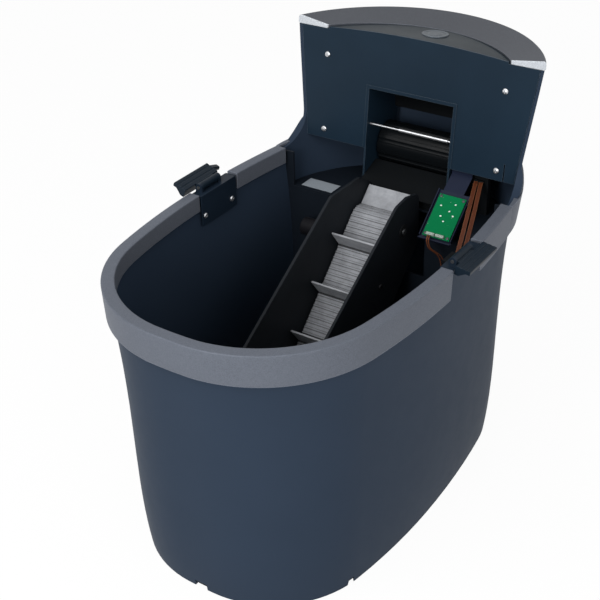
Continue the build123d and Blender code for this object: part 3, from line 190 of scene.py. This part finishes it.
def tinted(colour, amount):
    """The colour, lighter or darker by a factor."""
    return tuple(min(1.0, c * amount) for c in colour)


def softened(tree, shader, radius, height=None, strength=0.2, distance=0.0002):
    """Rounded edge highlights, with a bump on top where height is given."""
    bevel = node(tree, "ShaderNodeBevel", samples=4, Radius=radius)
    normal = bevel.outputs["Normal"]
    if height is not None:
        bump = node(tree, "ShaderNodeBump", Strength=strength, Distance=distance)
        tree.links.new(height, bump.inputs["Height"])
        tree.links.new(normal, bump.inputs["Normal"])
        normal = bump.outputs["Normal"]
    tree.links.new(normal, shader.inputs["Normal"])


def highlight_edge_mask(tree, radius):
    """1 along sharp edges, where a highlight is painted, 0 on flat and gently curved skin."""
    rounded = node(tree, "ShaderNodeBevel", samples=6, Radius=radius)
    face = tree.nodes.new("ShaderNodeNewGeometry")
    match = node(tree, "ShaderNodeVectorMath", operation="DOT_PRODUCT")
    tree.links.new(rounded.outputs["Normal"], match.inputs[0])
    tree.links.new(face.outputs["Normal"], match.inputs[1])
    share = node(tree, "ShaderNodeMapRange", From_Min=0.99, From_Max=0.85)
    tree.links.new(match.outputs["Value"], share.inputs["Value"])
    return share.outputs["Result"]


def paint_edge_highlight(tree, tone, edge_highlight_colour, radius):
    """The tone, changed to a lighter colour along edges: a painted edge highlight."""
    mix = node(tree, "ShaderNodeMix", data_type="RGBA")
    mix.inputs["B"].default_value = (*edge_highlight_colour, 1)
    tree.links.new(highlight_edge_mask(tree, radius), mix.inputs["Factor"])
    tree.links.new(tone, mix.inputs["A"])
    return mix.outputs["Result"]


def moulded(
    name, colour, rough=0.42, grain=0.0011, mottle=0.12, edge=0.0007, bump=0.18, shine=0.1, edge_highlight_colour=None
):
    """Moulded plastic: a fine grain, a slight cloudiness and handling marks in the gloss."""
    material, tree, shader = tree_of(name)
    where = position(tree)
    cloud = node(tree, "ShaderNodeTexNoise", Scale=9.0, Detail=3.0, Roughness=0.55)
    fine = node(tree, "ShaderNodeTexNoise", Scale=1.0 / grain, Detail=2.0, Roughness=0.6)
    smear = node(tree, "ShaderNodeTexNoise", Scale=38.0, Detail=5.0, Roughness=0.65)
    for texture in (cloud, fine, smear):
        tree.links.new(where, texture.inputs["Vector"])
    pale, deep = tinted(colour, 1 + mottle), tinted(colour, 1 - mottle)
    tone = between(tree, cloud.outputs["Fac"], deep, pale, 0.3, 0.7)
    # painted highlight: a lighter colour along the sharp edges, where one is given
    if edge_highlight_colour:
        tone = paint_edge_highlight(tree, tone, edge_highlight_colour, edge)
    tree.links.new(tone, shader.inputs["Base Color"])
    gloss = node(
        tree, "ShaderNodeMapRange", From_Min=0.3, From_Max=0.7, To_Min=rough - 0.02, To_Max=rough + 0.03
    )
    tree.links.new(smear.outputs["Fac"], gloss.inputs["Value"])
    tree.links.new(gloss.outputs["Result"], shader.inputs["Roughness"])
    shader.inputs["Specular IOR Level"].default_value = shine
    softened(tree, shader, edge, fine.outputs["Fac"], bump, 0.00008)
    return material


def painted(name, colour, rough=0.42, metal=0.4, flake=0.0009, edge=0.0012, edge_highlight_colour=None):
    """Metallic paint with small bright flakes."""
    material, tree, shader = tree_of(name)
    where = position(tree)
    flakes = node(tree, "ShaderNodeTexVoronoi", Scale=1.0 / flake)
    drift = node(tree, "ShaderNodeTexNoise", Scale=7.0, Detail=2.0)
    tree.links.new(where, flakes.inputs["Vector"])
    tree.links.new(where, drift.inputs["Vector"])
    spark = between(tree, flakes.outputs["Color"], tinted(colour, 0.88), tinted(colour, 1.14), 0.1, 0.9)
    shade = between(tree, drift.outputs["Fac"], (0.93, 0.93, 0.93), (1, 1, 1), 0.3, 0.7)
    mix = node(tree, "ShaderNodeMix", data_type="RGBA", blend_type="MULTIPLY")
    mix.inputs["Factor"].default_value = 1.0
    tree.links.new(spark, mix.inputs["A"])
    tree.links.new(shade, mix.inputs["B"])
    tone = mix.outputs["Result"]
    # painted highlight: a lighter colour along the sharp edges, where one is given
    if edge_highlight_colour:
        tone = paint_edge_highlight(tree, tone, edge_highlight_colour, edge)
    tree.links.new(tone, shader.inputs["Base Color"])
    shader.inputs["Metallic"].default_value = metal
    shader.inputs["Roughness"].default_value = rough
    shader.inputs["Specular IOR Level"].default_value = 0.08
    softened(tree, shader, edge, flakes.outputs["Distance"], 0.05, 0.00005)
    return material


def brushed(name, colour, rough=0.3, turn=(0, 0, 0)):
    """Machined or brushed metal with fine lines one way."""
    material, tree, shader = tree_of(name)
    where = position(tree, scale=(2500, 160, 2500), turn=turn)
    lines = node(tree, "ShaderNodeTexNoise", Scale=1.0, Detail=3.0, Roughness=0.6)
    tree.links.new(where, lines.inputs["Vector"])
    tree.links.new(
        between(tree, lines.outputs["Fac"], tinted(colour, 0.8), tinted(colour, 1.12), 0.3, 0.7),
        shader.inputs["Base Color"],
    )
    shader.inputs["Metallic"].default_value = 0.9
    shader.inputs["Roughness"].default_value = rough
    softened(tree, shader, 0.0003, lines.outputs["Fac"], 0.08, 0.00005)
    return material


def rubbery(name, colour, rough=0.66, dust=0.25):
    """Belt rubber: matt, paler where chips rub it, with painted shade dark down between the ribs."""
    material, tree, shader = tree_of(name)
    where = position(tree)
    scuff = node(tree, "ShaderNodeTexNoise", Scale=70.0, Detail=6.0, Roughness=0.7)
    fine = node(tree, "ShaderNodeTexNoise", Scale=1600.0, Detail=2.0)
    tree.links.new(where, scuff.inputs["Vector"])
    tree.links.new(where, fine.inputs["Vector"])
    tone = between(
        tree, scuff.outputs["Fac"], tinted(colour, 1 - dust * 0.6), tinted(colour, 1 + dust), 0.35, 0.72
    )
    # painted shade: occlusion darkens the colour in the hollows between the ribs
    hollow = node(tree, "ShaderNodeAmbientOcclusion", samples=8, Distance=0.004)
    hollow_shade = node(tree, "ShaderNodeMix", data_type="RGBA")
    hollow_shade.inputs["A"].default_value = (*tinted(colour, 0.12), 1)
    share = node(tree, "ShaderNodeMapRange", From_Min=0.62, From_Max=0.92)
    tree.links.new(hollow.outputs["AO"], share.inputs["Value"])
    tree.links.new(share.outputs["Result"], hollow_shade.inputs["Factor"])
    tree.links.new(tone, hollow_shade.inputs["B"])
    tree.links.new(hollow_shade.outputs["Result"], shader.inputs["Base Color"])
    shader.inputs["Roughness"].default_value = rough
    shader.inputs["Specular IOR Level"].default_value = 0.2
    softened(tree, shader, 0.0004, fine.outputs["Fac"], 0.2, 0.0001)
    return material


def circuit(name, colour):
    """Solder mask: an even green with fine tinned holes and a satin skin."""
    material, tree, shader = tree_of(name)
    where = position(tree, turn=(-BOARD_SLOPE, 0, 0))
    tracks = node(
        tree, "ShaderNodeTexBrick", Scale=60.0, Mortar_Size=0.012, Brick_Width=0.35, Row_Height=0.09
    )
    tracks.inputs["Color1"].default_value = (*colour, 1)
    tracks.inputs["Color2"].default_value = (*tinted(colour, 0.93), 1)
    tracks.inputs["Mortar"].default_value = (*tinted(colour, 1.12), 1)
    pads = node(tree, "ShaderNodeTexVoronoi", Scale=150.0, Randomness=0.8)
    for texture in (tracks, pads):
        tree.links.new(where, texture.inputs["Vector"])
    spot = node(tree, "ShaderNodeMath", operation="LESS_THAN")
    spot.inputs[1].default_value = 0.07
    tree.links.new(pads.outputs["Distance"], spot.inputs[0])
    mix = node(tree, "ShaderNodeMix", data_type="RGBA")
    mix.inputs["B"].default_value = (0.35, 0.42, 0.36, 1)
    tree.links.new(spot.outputs["Value"], mix.inputs["Factor"])
    tree.links.new(tracks.outputs["Color"], mix.inputs["A"])
    tree.links.new(mix.outputs["Result"], shader.inputs["Base Color"])
    shader.inputs["Roughness"].default_value = 0.6
    shader.inputs["Specular IOR Level"].default_value = 0.04
    softened(tree, shader, 0.0002, tracks.outputs["Fac"], 0.1, 0.00004)
    return material


def stranded(name, colour, pitch, turn, edge_highlight_colour):
    """Flat cable: conductors side by side under clear brown insulation."""
    material, tree, shader = tree_of(name)
    where = position(tree, turn=(0, 0, turn))
    wave = node(tree, "ShaderNodeTexWave", bands_direction="Y", Scale=0.314 / pitch, Distortion=0.0)
    tree.links.new(where, wave.inputs["Vector"])
    tone = between(tree, wave.outputs["Fac"], tinted(colour, 0.35), tinted(colour, 1.7), 0.15, 0.85)
    # painted highlight: a lighter colour along the cable's edges
    tree.links.new(paint_edge_highlight(tree, tone, edge_highlight_colour, 0.0008), shader.inputs["Base Color"])
    shader.inputs["Roughness"].default_value = 0.4
    shader.inputs["Specular IOR Level"].default_value = 0.3
    softened(tree, shader, 0.0003, wave.outputs["Fac"], 0.5, 0.0002)
    return material


FINISH = {}


def mix_finishes(scene):
    """Makes every finish from the panel's colours."""
    tub, lift, board = scene.hopper_tub, scene.hopper_lift, scene.hopper_board
    shell, panel, rim, cap = (
        tuple(colour) for colour in (tub.shell_colour, tub.panel_colour, tub.rim_colour, tub.cap_colour)
    )
    cheek, belt, mask, cable = (
        tuple(colour)
        for colour in (lift.cheek_colour, lift.belt_colour, board.board_colour, board.cable_colour)
    )
    grain = tub.grain_size
    # the lighter edge colours given below are painted highlights along sharp edges
    FINISH.update(
        shell=moulded("shell_plastic", shell, 0.5, grain, 0.025, bump=0.08, shine=0.05),
        panel=moulded("panel_plastic", panel, 0.36, grain, 0.10, bump=0.08, edge_highlight_colour=(0.09, 0.12, 0.15)),
        inner=moulded("inner_plastic", (0.007, 0.010, 0.015), 0.5, grain, 0.15),
        rim=painted("rim_paint", rim, 0.5, 0.15, edge_highlight_colour=tinted(rim, 2.0)),
        cap=painted("cap_paint", cap, 0.45, 0.3, edge_highlight_colour=tinted(cap, 2.2)),
        trim=painted("end_trim_paint", (0.55, 0.58, 0.62), 0.3, 0.5),
        deck=moulded("deck_gloss", (0.010, 0.018, 0.025), 0.32, grain, 0.03, bump=0.01, shine=0.06),
        badge=painted("badge_paint", (0.07, 0.085, 0.10), 0.35, 0.5, edge_highlight_colour=(0.22, 0.24, 0.27)),
        label=painted("label_foil", (0.34, 0.38, 0.42), 0.42, 0.2, 0.0005),
        silver=brushed("bright_steel", (0.62, 0.63, 0.65)),
        dull_steel=brushed("dull_steel", (0.10, 0.105, 0.11), 0.45),
        black_steel=brushed("black_steel", (0.02, 0.02, 0.022), 0.5),
        tin=brushed("tinned_pads", (0.55, 0.60, 0.56), 0.4),
        black=moulded("black_plastic", (0.005, 0.006, 0.007), 0.5, 0.0007, 0.15, shine=0.08),
        cheek=moulded("cheek_plastic", cheek, 0.55, 0.0009, 0.3, edge_highlight_colour=(0.028, 0.032, 0.038)),
        belt=rubbery("belt_rubber", belt),
        drum=moulded("drum_plastic", (0.004, 0.005, 0.006), 0.25, 0.0007, 0.2, bump=0.05),
        bush=moulded("bush_plastic", (0.008, 0.009, 0.010), 0.5, 0.0006, 0.1),
        motor=painted("motor_paint", (0.008, 0.008, 0.010), 0.5, 0.1),
        board=circuit("board_mask", mask),
        tray=moulded("tray_plastic", (0.010, 0.014, 0.030), 0.4, 0.0007, 0.15),
        connector=moulded("connector_plastic", (0.34, 0.40, 0.36), 0.35, 0.0005, 0.1, 0.0002),
        cable=stranded("flat_cable", cable, 0.0011, radians(-17), (0.40, 0.16, 0.07)),
        wire=moulded("wire_sleeve", (0.16, 0.05, 0.02), 0.35, 0.0005, 0.2, 0.0001),
        latch=moulded(
            "latch_plastic", (0.006, 0.012, 0.020), 0.36, 0.0007, 0.1, 0.0008, edge_highlight_colour=(0.02, 0.032, 0.045)
        ),
        bracket=moulded("bracket_plastic", (0.009, 0.016, 0.027), 0.4, 0.0007, 0.15, 0.0008),
        rocker=moulded("rocker_plastic", (0.008, 0.008, 0.009), 0.2, 0.0007, 0.05),
    )


def shade_corners(piece):
    """Smooth faces with crisp corners."""
    piece.data.polygons.foreach_set("use_smooth", [True] * len(piece.data.polygons))
    split = piece.modifiers.new("crisp corners", "EDGE_SPLIT")
    split.split_angle = CREASE_ANGLE


def dress(name, finish):
    """Gives a frame node its finish, with smooth curves and crisp corners."""
    piece = NODES[name]
    piece.data.materials.clear()
    piece.data.materials.append(FINISH[finish])
    weld = piece.modifiers.new("join faces", "WELD")
    weld.merge_threshold = WELD_DISTANCE
    shade_corners(piece)


# ---------------------------------------------------------------- making pieces
def islands(name):
    """Corner points of each separate solid in a frame node."""
    solid = bmesh.new()
    solid.from_mesh(NODES[name].data)
    bmesh.ops.remove_doubles(solid, verts=solid.verts, dist=WELD_DISTANCE)
    groups, seen = [], set()
    for start in solid.verts:
        if start.index in seen:
            continue
        stack, members = [start], []
        seen.add(start.index)
        while stack:
            vert = stack.pop()
            members.append(vert.co.copy())
            for edge in vert.link_edges:
                other = edge.other_vert(vert)
                if other.index not in seen:
                    seen.add(other.index)
                    stack.append(other)
        groups.append(members)
    solid.free()
    return groups


def lathe(name, profile, steps=32):
    """A turned mesh about Z from (radius, height) points; the ends lie on the axis."""
    form = bmesh.new()
    rings = []
    for radius, height in profile:
        if radius < 1e-9:
            rings.append([form.verts.new((0, 0, height))])
        else:
            rings.append([
                form.verts.new((radius * cos(2 * pi * i / steps), radius * sin(2 * pi * i / steps), height))
                for i in range(steps)
            ])
    for low, high in zip(rings, rings[1:]):
        for i in range(steps):
            j = (i + 1) % steps
            corners = [low[i % len(low)], low[j % len(low)], high[j % len(high)], high[i % len(high)]]
            corners = list(dict.fromkeys(corners))
            if len(corners) > 2:
                form.faces.new(corners)
    bmesh.ops.recalc_face_normals(form, faces=form.faces)
    mesh = bpy.data.meshes.new(name)
    form.to_mesh(mesh)
    form.free()
    return linked(name, mesh)


def linked(name, mesh):
    """An object for the mesh, in the scene."""
    piece = bpy.data.objects.new(name, mesh)
    bpy.context.scene.collection.objects.link(piece)
    return piece


def plain_mesh(piece):
    """Turns the evaluated piece into a plain mesh with no modifier."""
    bpy.context.view_layer.update()
    made = bpy.data.meshes.new_from_object(piece.evaluated_get(bpy.context.evaluated_depsgraph_get()))
    made.name = piece.name
    piece.modifiers.clear()
    piece.data = made
    return piece


def screw_form(name, head, shank, rise, grip):
    """A pan-head screw with a cross recess, its head's top at z 0 and its shank below."""
    screw = lathe(name, [
        (0, 0), (head * 0.45, -rise * 0.04), (head * 0.8, -rise * 0.25), (head, -rise * 0.7),
        (head, -rise), (shank, -rise), (shank, -rise - grip), (0, -rise - grip),
    ])
    cutter_form = bmesh.new()
    for turn in (0, pi / 2):
        cross = bmesh.ops.create_cube(cutter_form, size=1.0)
        bmesh.ops.scale(cutter_form, vec=(head * 1.15, head * 0.2, rise * 0.9), verts=cross["verts"])
        bmesh.ops.rotate(cutter_form, matrix=Matrix.Rotation(turn, 3, "Z"), verts=cross["verts"])
    mesh = bpy.data.meshes.new("cross")
    cutter_form.to_mesh(mesh)
    cutter_form.free()
    cutter = linked("cross", mesh)
    cut = screw.modifiers.new("recess", "BOOLEAN")
    cut.operation, cut.object, cut.solver, cut.use_self = "DIFFERENCE", cutter, "EXACT", True
    plain_mesh(screw)
    bpy.data.objects.remove(cutter)
    return screw


def scatter_tree(name, template, finish):
    """Copies of the template on points, turned to each point's stored direction."""
    tree = bpy.data.node_groups.new(name, "GeometryNodeTree")
    face = tree.interface
    face.new_socket("Geometry", in_out="INPUT", socket_type="NodeSocketGeometry")
    size = face.new_socket("Size", in_out="INPUT", socket_type="NodeSocketFloat")
    size.default_value = 1.0
    face.new_socket("Geometry", in_out="OUTPUT", socket_type="NodeSocketGeometry")
    nodes, link = tree.nodes, tree.links.new
    entry, leave = nodes.new("NodeGroupInput"), nodes.new("NodeGroupOutput")
    info = nodes.new("GeometryNodeObjectInfo")
    info.inputs["Object"].default_value = template
    heading = nodes.new("GeometryNodeInputNamedAttribute")
    heading.data_type = "FLOAT_VECTOR"
    heading.inputs["Name"].default_value = "heading"
    turn = nodes.new("FunctionNodeAlignRotationToVector")
    turn.axis = "Z"
    copies = nodes.new("GeometryNodeInstanceOnPoints")
    real = nodes.new("GeometryNodeRealizeInstances")
    paint = nodes.new("GeometryNodeSetMaterial")
    paint.inputs["Material"].default_value = finish
    link(heading.outputs["Attribute"], turn.inputs["Vector"])
    link(entry.outputs["Geometry"], copies.inputs["Points"])
    link(info.outputs["Geometry"], copies.inputs["Instance"])
    link(turn.outputs["Rotation"], copies.inputs["Rotation"])
    link(entry.outputs["Size"], copies.inputs["Scale"])
    link(copies.outputs["Instances"], real.inputs["Geometry"])
    link(real.outputs["Geometry"], paint.inputs["Geometry"])
    link(paint.outputs["Geometry"], leave.inputs["Geometry"])
    return tree, size.identifier


def scatter(name, points, headings, template, finish, size=1.0):
    """One mesh of template copies at the points."""
    mesh = bpy.data.meshes.new(name)
    mesh.from_pydata([tuple(p) for p in points], [], [])
    stored = mesh.attributes.new("heading", "FLOAT_VECTOR", "POINT")
    stored.data.foreach_set("vector", [v for h in headings for v in h])
    piece = linked(name, mesh)
    tree, size_key = scatter_tree(name, template, FINISH[finish])
    growth = piece.modifiers.new("copies", "NODES")
    growth.node_group = tree
    growth[size_key] = size
    plain_mesh(piece)
    bpy.data.node_groups.remove(tree)
    return piece


def fit_screws(name, node_name, heading_of, rise_share, finish="silver"):
    """Cross-head screws in place of a frame node's plain ones."""
    points, headings, head, shank_end = [], [], 0.0, 0.0
    for corners in islands(node_name):
        centre = sum(corners, Vector()) / len(corners)
        axis = Vector(heading_of(centre)).normalized()
        along = [(c - centre).dot(axis) for c in corners]
        across = [((c - centre) - axis * a).length for c, a in zip(corners, along)]
        top = max(along)
        middle = sum(((c - axis * a) for c, a in zip(corners, along)), Vector()) / len(corners)
        head = max(head, max(across))
        shank_end = max(shank_end, top - min(along))
        points.append(middle + axis * top)
        headings.append(axis)
    rise = head * rise_share
    template = screw_form(name + "_form", head, head * 0.42, rise, shank_end - rise)
    piece = scatter(name, points, headings, template, finish)
    bpy.data.objects.remove(template)
    shade_corners(piece)
    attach(piece, "housing")
    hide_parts(node_name)


def side_away(place):
    """Sideways, away from the mirror plane."""
    return (1 if place.x > 0 else -1, 0, 0)


def side_towards(place):
    """Sideways, towards the mirror plane."""
    return (-1 if place.x > 0 else 1, 0, 0)


# ---------------------------------------------------------------- operators
class HOPPER_OT_finishes(bpy.types.Operator):
    """Mix the finishes from the panel's colours"""

    bl_idname = "hopper.finishes"
    bl_label = "Finishes"

    def execute(self, context):
        mix_finishes(context.scene)
        return {"FINISHED"}


class HOPPER_OT_tub(bpy.types.Operator):
    """Finish the tub, its floor and its base"""

    bl_idname = "hopper.tub"
    bl_label = "Tub"

    def execute(self, context):
        dress("body_shell", "shell")
        for name in ("hopper_floor", "rear_bulkhead", "chassis_shelf"):
            dress(name, "inner")
        for name in ("base_plate", "wire_grommet"):
            dress(name, "black")
        dress("blank_label", "label")
        return {"FINISHED"}


class HOPPER_OT_rim(bpy.types.Operator):
    """Finish the painted rim and cap"""

    bl_idname = "hopper.rim"
    bl_label = "Rim and cap"

    def execute(self, context):
        for name in ("rim_front", "rim_left", "rim_right", "rim_rear"):
            dress(name, "rim")
        dress("tower_cap", "cap")
        dress("cap_end_trims", "trim")
        dress("tower_deck", "deck")
        dress("blank_badge", "badge")
        return {"FINISHED"}


class HOPPER_OT_tower(bpy.types.Operator):
    """Finish the tower's panel and its throat"""

    bl_idname = "hopper.tower"
    bl_label = "Tower"

    def execute(self, context):
        for name in ("front_panel", "throat_frame"):
            dress(name, "panel")
        for name in ("throat_guide", "throat_hood"):
            dress(name, "black")
        dress("feed_drum", "drum")
        dress("throat_rod", "silver")
        dress("drum_shaft", "dull_steel")
        dress("drum_bushes", "bush")
        dress("drum_motor", "motor")
        return {"FINISHED"}


class HOPPER_OT_lift(bpy.types.Operator):
    """Finish the lift's belt, cheeks and drive"""

    bl_idname = "hopper.lift"
    bl_label = "Lift"

    def execute(self, context):
        dress("cleated_belt", "belt")
        for name in ("elevator_cheek_left", "elevator_cheek_right"):
            dress(name, "cheek")
        for name in ("cheek_spacers", "head_shaft", "tail_shaft", "motor_shaft"):
            dress(name, "dull_steel")
        for name in ("motor_bracket", "slider_bed"):
            dress(name, "dull_steel")
        for name in ("head_roller", "tail_roller"):
            dress(name, "black")
        for name in ("shaft_bushes", "drive_gear", "motor_pinion"):
            dress(name, "bush")
        dress("belt_gearmotor", "motor")
        return {"FINISHED"}


class HOPPER_OT_board(bpy.types.Operator):
    """Finish the sensor board, its tray and its cables"""

    bl_idname = "hopper.board"
    bl_label = "Board and cables"

    def execute(self, context):
        dress("sensor_board", "board")
        dress("board_tray", "tray")
        dress("board_connectors", "connector")
        dress("board_chips", "tin")
        self.header_pins(context.scene.hopper_board)
        dress("ribbon_cables", "cable")
        dress("ribbon_sockets", "black")
        dress("board_wires", "wire")
        return {"FINISHED"}

    def header_pins(self, board):
        """Square tinned pins standing in a row on each header block."""
        lean = Vector((0, -sin(BOARD_SLOPE), cos(BOARD_SLOPE)))
        along = Vector((0, cos(BOARD_SLOPE), sin(BOARD_SLOPE)))
        points = []
        for corners in islands("board_connectors"):
            top = max(c.dot(lean) for c in corners)
            low, high = min(c.x for c in corners), max(c.x for c in corners)
            middle = (min(c.dot(along) for c in corners) + max(c.dot(along) for c in corners)) / 2
            pitch = (high - low) / board.pin_count
            for i in range(board.pin_count):
                points.append(Vector((low + (i + 0.5) * pitch, 0, 0)) + along * middle + lean * top)
        corner, height = board.pin_side / sqrt(2), board.pin_height
        template = lathe("pin_form", [
            (0, height), (corner * 0.6, height), (corner, height * 0.8), (corner, -height * 0.5),
            (0, -height * 0.5),
        ], steps=4)
        pins = scatter("header_pins", points, [lean] * len(points), template, "tin")
        bpy.data.objects.remove(template)
        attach(pins, "housing")


class HOPPER_OT_latches(bpy.types.Operator):
    """Finish the two side latches and their switch"""

    bl_idname = "hopper.latches"
    bl_label = "Latches"

    def execute(self, context):
        for side in ("left", "right"):
            dress("latch_bracket_" + side, "bracket")
            dress("latch_lever_" + side, "latch")
        dress("latch_pins", "dull_steel")
        dress("latch_switch", "black")
        return {"FINISHED"}


class HOPPER_OT_service(bpy.types.Operator):
    """Finish the rear service plate, inlet and rocker"""

    bl_idname = "hopper.service"
    bl_label = "Service plate"

    def execute(self, context):
        dress("service_plate", "black")
        dress("power_inlet", "black")
        dress("switch_rocker", "rocker")
        return {"FINISHED"}


class HOPPER_OT_screws(bpy.types.Operator):
    """Make the cross-head screws of the panel, lift, board and latches"""

    bl_idname = "hopper.screws"
    bl_label = "Screws"

    def execute(self, context):
        panel_face = (0, -cos(PANEL_LEAN), sin(PANEL_LEAN))
        board_face = (0, -sin(BOARD_SLOPE), cos(BOARD_SLOPE))
        black = "black_steel"
        fit_screws("panel_screw_heads", "panel_screws", lambda place: panel_face, 0.55)
        fit_screws("lift_screw_heads", "spacer_screws", side_away, 0.6, black)
        fit_screws("board_screw_heads", "board_screws", lambda place: board_face, 0.6, "dull_steel")
        fit_screws("latch_screw_heads", "latch_screws", side_towards, 0.6)
        return {"FINISHED"}


def seen_share(tree):
    """1 for rays from the camera, a reflection or a clear surface, 0 for the light on the object."""
    path = tree.nodes.new("ShaderNodeLightPath")
    share = path.outputs["Is Camera Ray"]
    for kind in ("Is Glossy Ray", "Is Transmission Ray"):
        total = node(tree, "ShaderNodeMath", operation="ADD", use_clamp=True)
        tree.links.new(share, total.inputs[0])
        tree.links.new(path.outputs[kind], total.inputs[1])
        share = total.outputs["Value"]
    return share


CAMERA_PLACE = (0.80343, -1.211413, 1.193487)
CAMERA_RIGHT = (0.83125369, 0.55545692, -0.02202057)
CAMERA_UP = (-0.27436167, 0.44439612, 0.85278236)
CAMERA_BACK = (0.48346972, -0.70283689, 0.52180201)
CAMERA_LENS = 72.97
SENSOR_WIDTH = 36.0
FLOOR_REACH = 6.0
FLOOR_DROP = 0.0005
FLOOR_TONE = 0.9
FLOOR_GLOW_SHARE = 0.95


def soft_light(name, place, aim, power, size):
    """A square area light aimed at a point."""
    data = bpy.data.lights.new(name, "AREA")
    data.energy, data.size = power, size
    lamp = bpy.data.objects.new(name, data)
    bpy.context.scene.collection.objects.link(lamp)
    lamp.location = place
    lamp.rotation_euler = (Vector(aim) - Vector(place)).to_track_quat("-Z", "Y").to_euler()


def fit_camera(scene):
    """The camera, where the product was seen from."""
    data = bpy.data.cameras.new("camera")
    data.lens, data.sensor_width = CAMERA_LENS, SENSOR_WIDTH
    data.clip_start, data.clip_end = 0.05, 20.0
    camera = bpy.data.objects.new("camera", data)
    scene.collection.objects.link(camera)
    turn = Matrix((CAMERA_RIGHT, CAMERA_UP, CAMERA_BACK)).transposed().to_4x4()
    camera.matrix_world = Matrix.Translation(CAMERA_PLACE) @ turn
    scene.camera = camera


def light_world(scene, sky_strength):
    """A white surround that lights the object with less than its seen strength."""
    world = bpy.data.worlds.new("studio")
    world.use_nodes = True
    scene.world = world
    tree = world.node_tree
    level = node(tree, "ShaderNodeMapRange", To_Min=sky_strength)
    tree.links.new(seen_share(tree), level.inputs["Value"])
    tree.links.new(level.outputs["Result"], tree.nodes["Background"].inputs["Strength"])
    tree.nodes["Background"].inputs["Color"].default_value = (1, 1, 1, 1)


def lay_floor():
    """A white floor that still takes a faint shadow."""
    mesh = bpy.data.meshes.new("studio_floor")
    corners = [(x * FLOOR_REACH, y * FLOOR_REACH, 0) for x, y in ((-1, -1), (1, -1), (1, 1), (-1, 1))]
    mesh.from_pydata(corners, [], [(0, 1, 2, 3)])
    floor = linked("studio_floor", mesh)
    floor.location.z = -FLOOR_DROP
    material, tree, shader = tree_of("studio_floor")
    shader.inputs["Base Color"].default_value = (FLOOR_TONE, FLOOR_TONE, FLOOR_TONE, 1)
    shader.inputs["Roughness"].default_value = 0.9
    glow = tree.nodes.new("ShaderNodeEmission")
    lit = tree.nodes.new("ShaderNodeMixShader")
    share = node(tree, "ShaderNodeMath", operation="MULTIPLY")
    share.inputs[1].default_value = FLOOR_GLOW_SHARE
    tree.links.new(seen_share(tree), share.inputs[0])
    tree.links.new(share.outputs["Value"], lit.inputs["Fac"])
    tree.links.new(shader.outputs["BSDF"], lit.inputs[1])
    tree.links.new(glow.outputs["Emission"], lit.inputs[2])
    tree.links.new(lit.outputs["Shader"], tree.nodes["Material Output"].inputs["Surface"])
    floor.data.materials.append(material)


class HOPPER_OT_stage(bpy.types.Operator):
    """Make the floor, the lights and the camera"""

    bl_idname = "hopper.stage"
    bl_label = "Stage"

    def execute(self, context):
        scene = context.scene
        stage = scene.hopper_stage
        fit_camera(scene)
        soft_light("key_light", (-0.5, -1.4, 2.2), (0, 0, 0.3), stage.key_power, 1.2)
        soft_light("front_light", (0.2, -2.3, 1.25), (0, 0.05, 0.32), stage.front_power, 0.8)
        soft_light("fill_light", (1.7, -1.0, 1.3), (0, 0, 0.3), stage.fill_power, 1.4)
        light_world(scene, stage.sky_strength)
        lay_floor()
        scene.view_settings.view_transform = "Standard"
        return {"FINISHED"}


class HOPPER_PT_pieces(bpy.types.Panel):
    """The hopper's settings and pieces"""

    bl_idname = "HOPPER_PT_pieces"
    bl_label = "Hopper"
    bl_space_type = "VIEW_3D"
    bl_region_type = "UI"
    bl_category = "Hopper"

    def draw(self, context):
        scene = context.scene
        for settings in (scene.hopper_tub, scene.hopper_lift, scene.hopper_board, scene.hopper_stage):
            box = self.layout.box()
            for key in settings.bl_rna.properties.keys():
                if key not in ("rna_type", "name"):
                    box.prop(settings, key)
        for operator in OPERATORS:
            self.layout.operator(operator.bl_idname)


GROUPS = (
    ("hopper_tub", TubSettings),
    ("hopper_lift", LiftSettings),
    ("hopper_board", BoardSettings),
    ("hopper_stage", StageSettings),
)
OPERATORS = (
    HOPPER_OT_stage, HOPPER_OT_finishes, HOPPER_OT_tub, HOPPER_OT_rim, HOPPER_OT_tower, HOPPER_OT_lift,
    HOPPER_OT_board, HOPPER_OT_latches, HOPPER_OT_service, HOPPER_OT_screws,
)


def register():
    """Registers the settings, the operators and the panel."""
    for key, group in GROUPS:
        bpy.utils.register_class(group)
        setattr(bpy.types.Scene, key, PointerProperty(type=group))
    for operator in OPERATORS:
        bpy.utils.register_class(operator)
    bpy.utils.register_class(HOPPER_PT_pieces)


def unregister():
    """Removes them again."""
    bpy.utils.unregister_class(HOPPER_PT_pieces)
    for operator in reversed(OPERATORS):
        bpy.utils.unregister_class(operator)
    for key, group in reversed(GROUPS):
        delattr(bpy.types.Scene, key)
        bpy.utils.unregister_class(group)


def main():
    """Makes every piece in order."""
    register()
    for operator in OPERATORS:
        getattr(bpy.ops.hopper, operator.bl_idname.split(".")[1])()


if __name__ == "__main__":
    main()
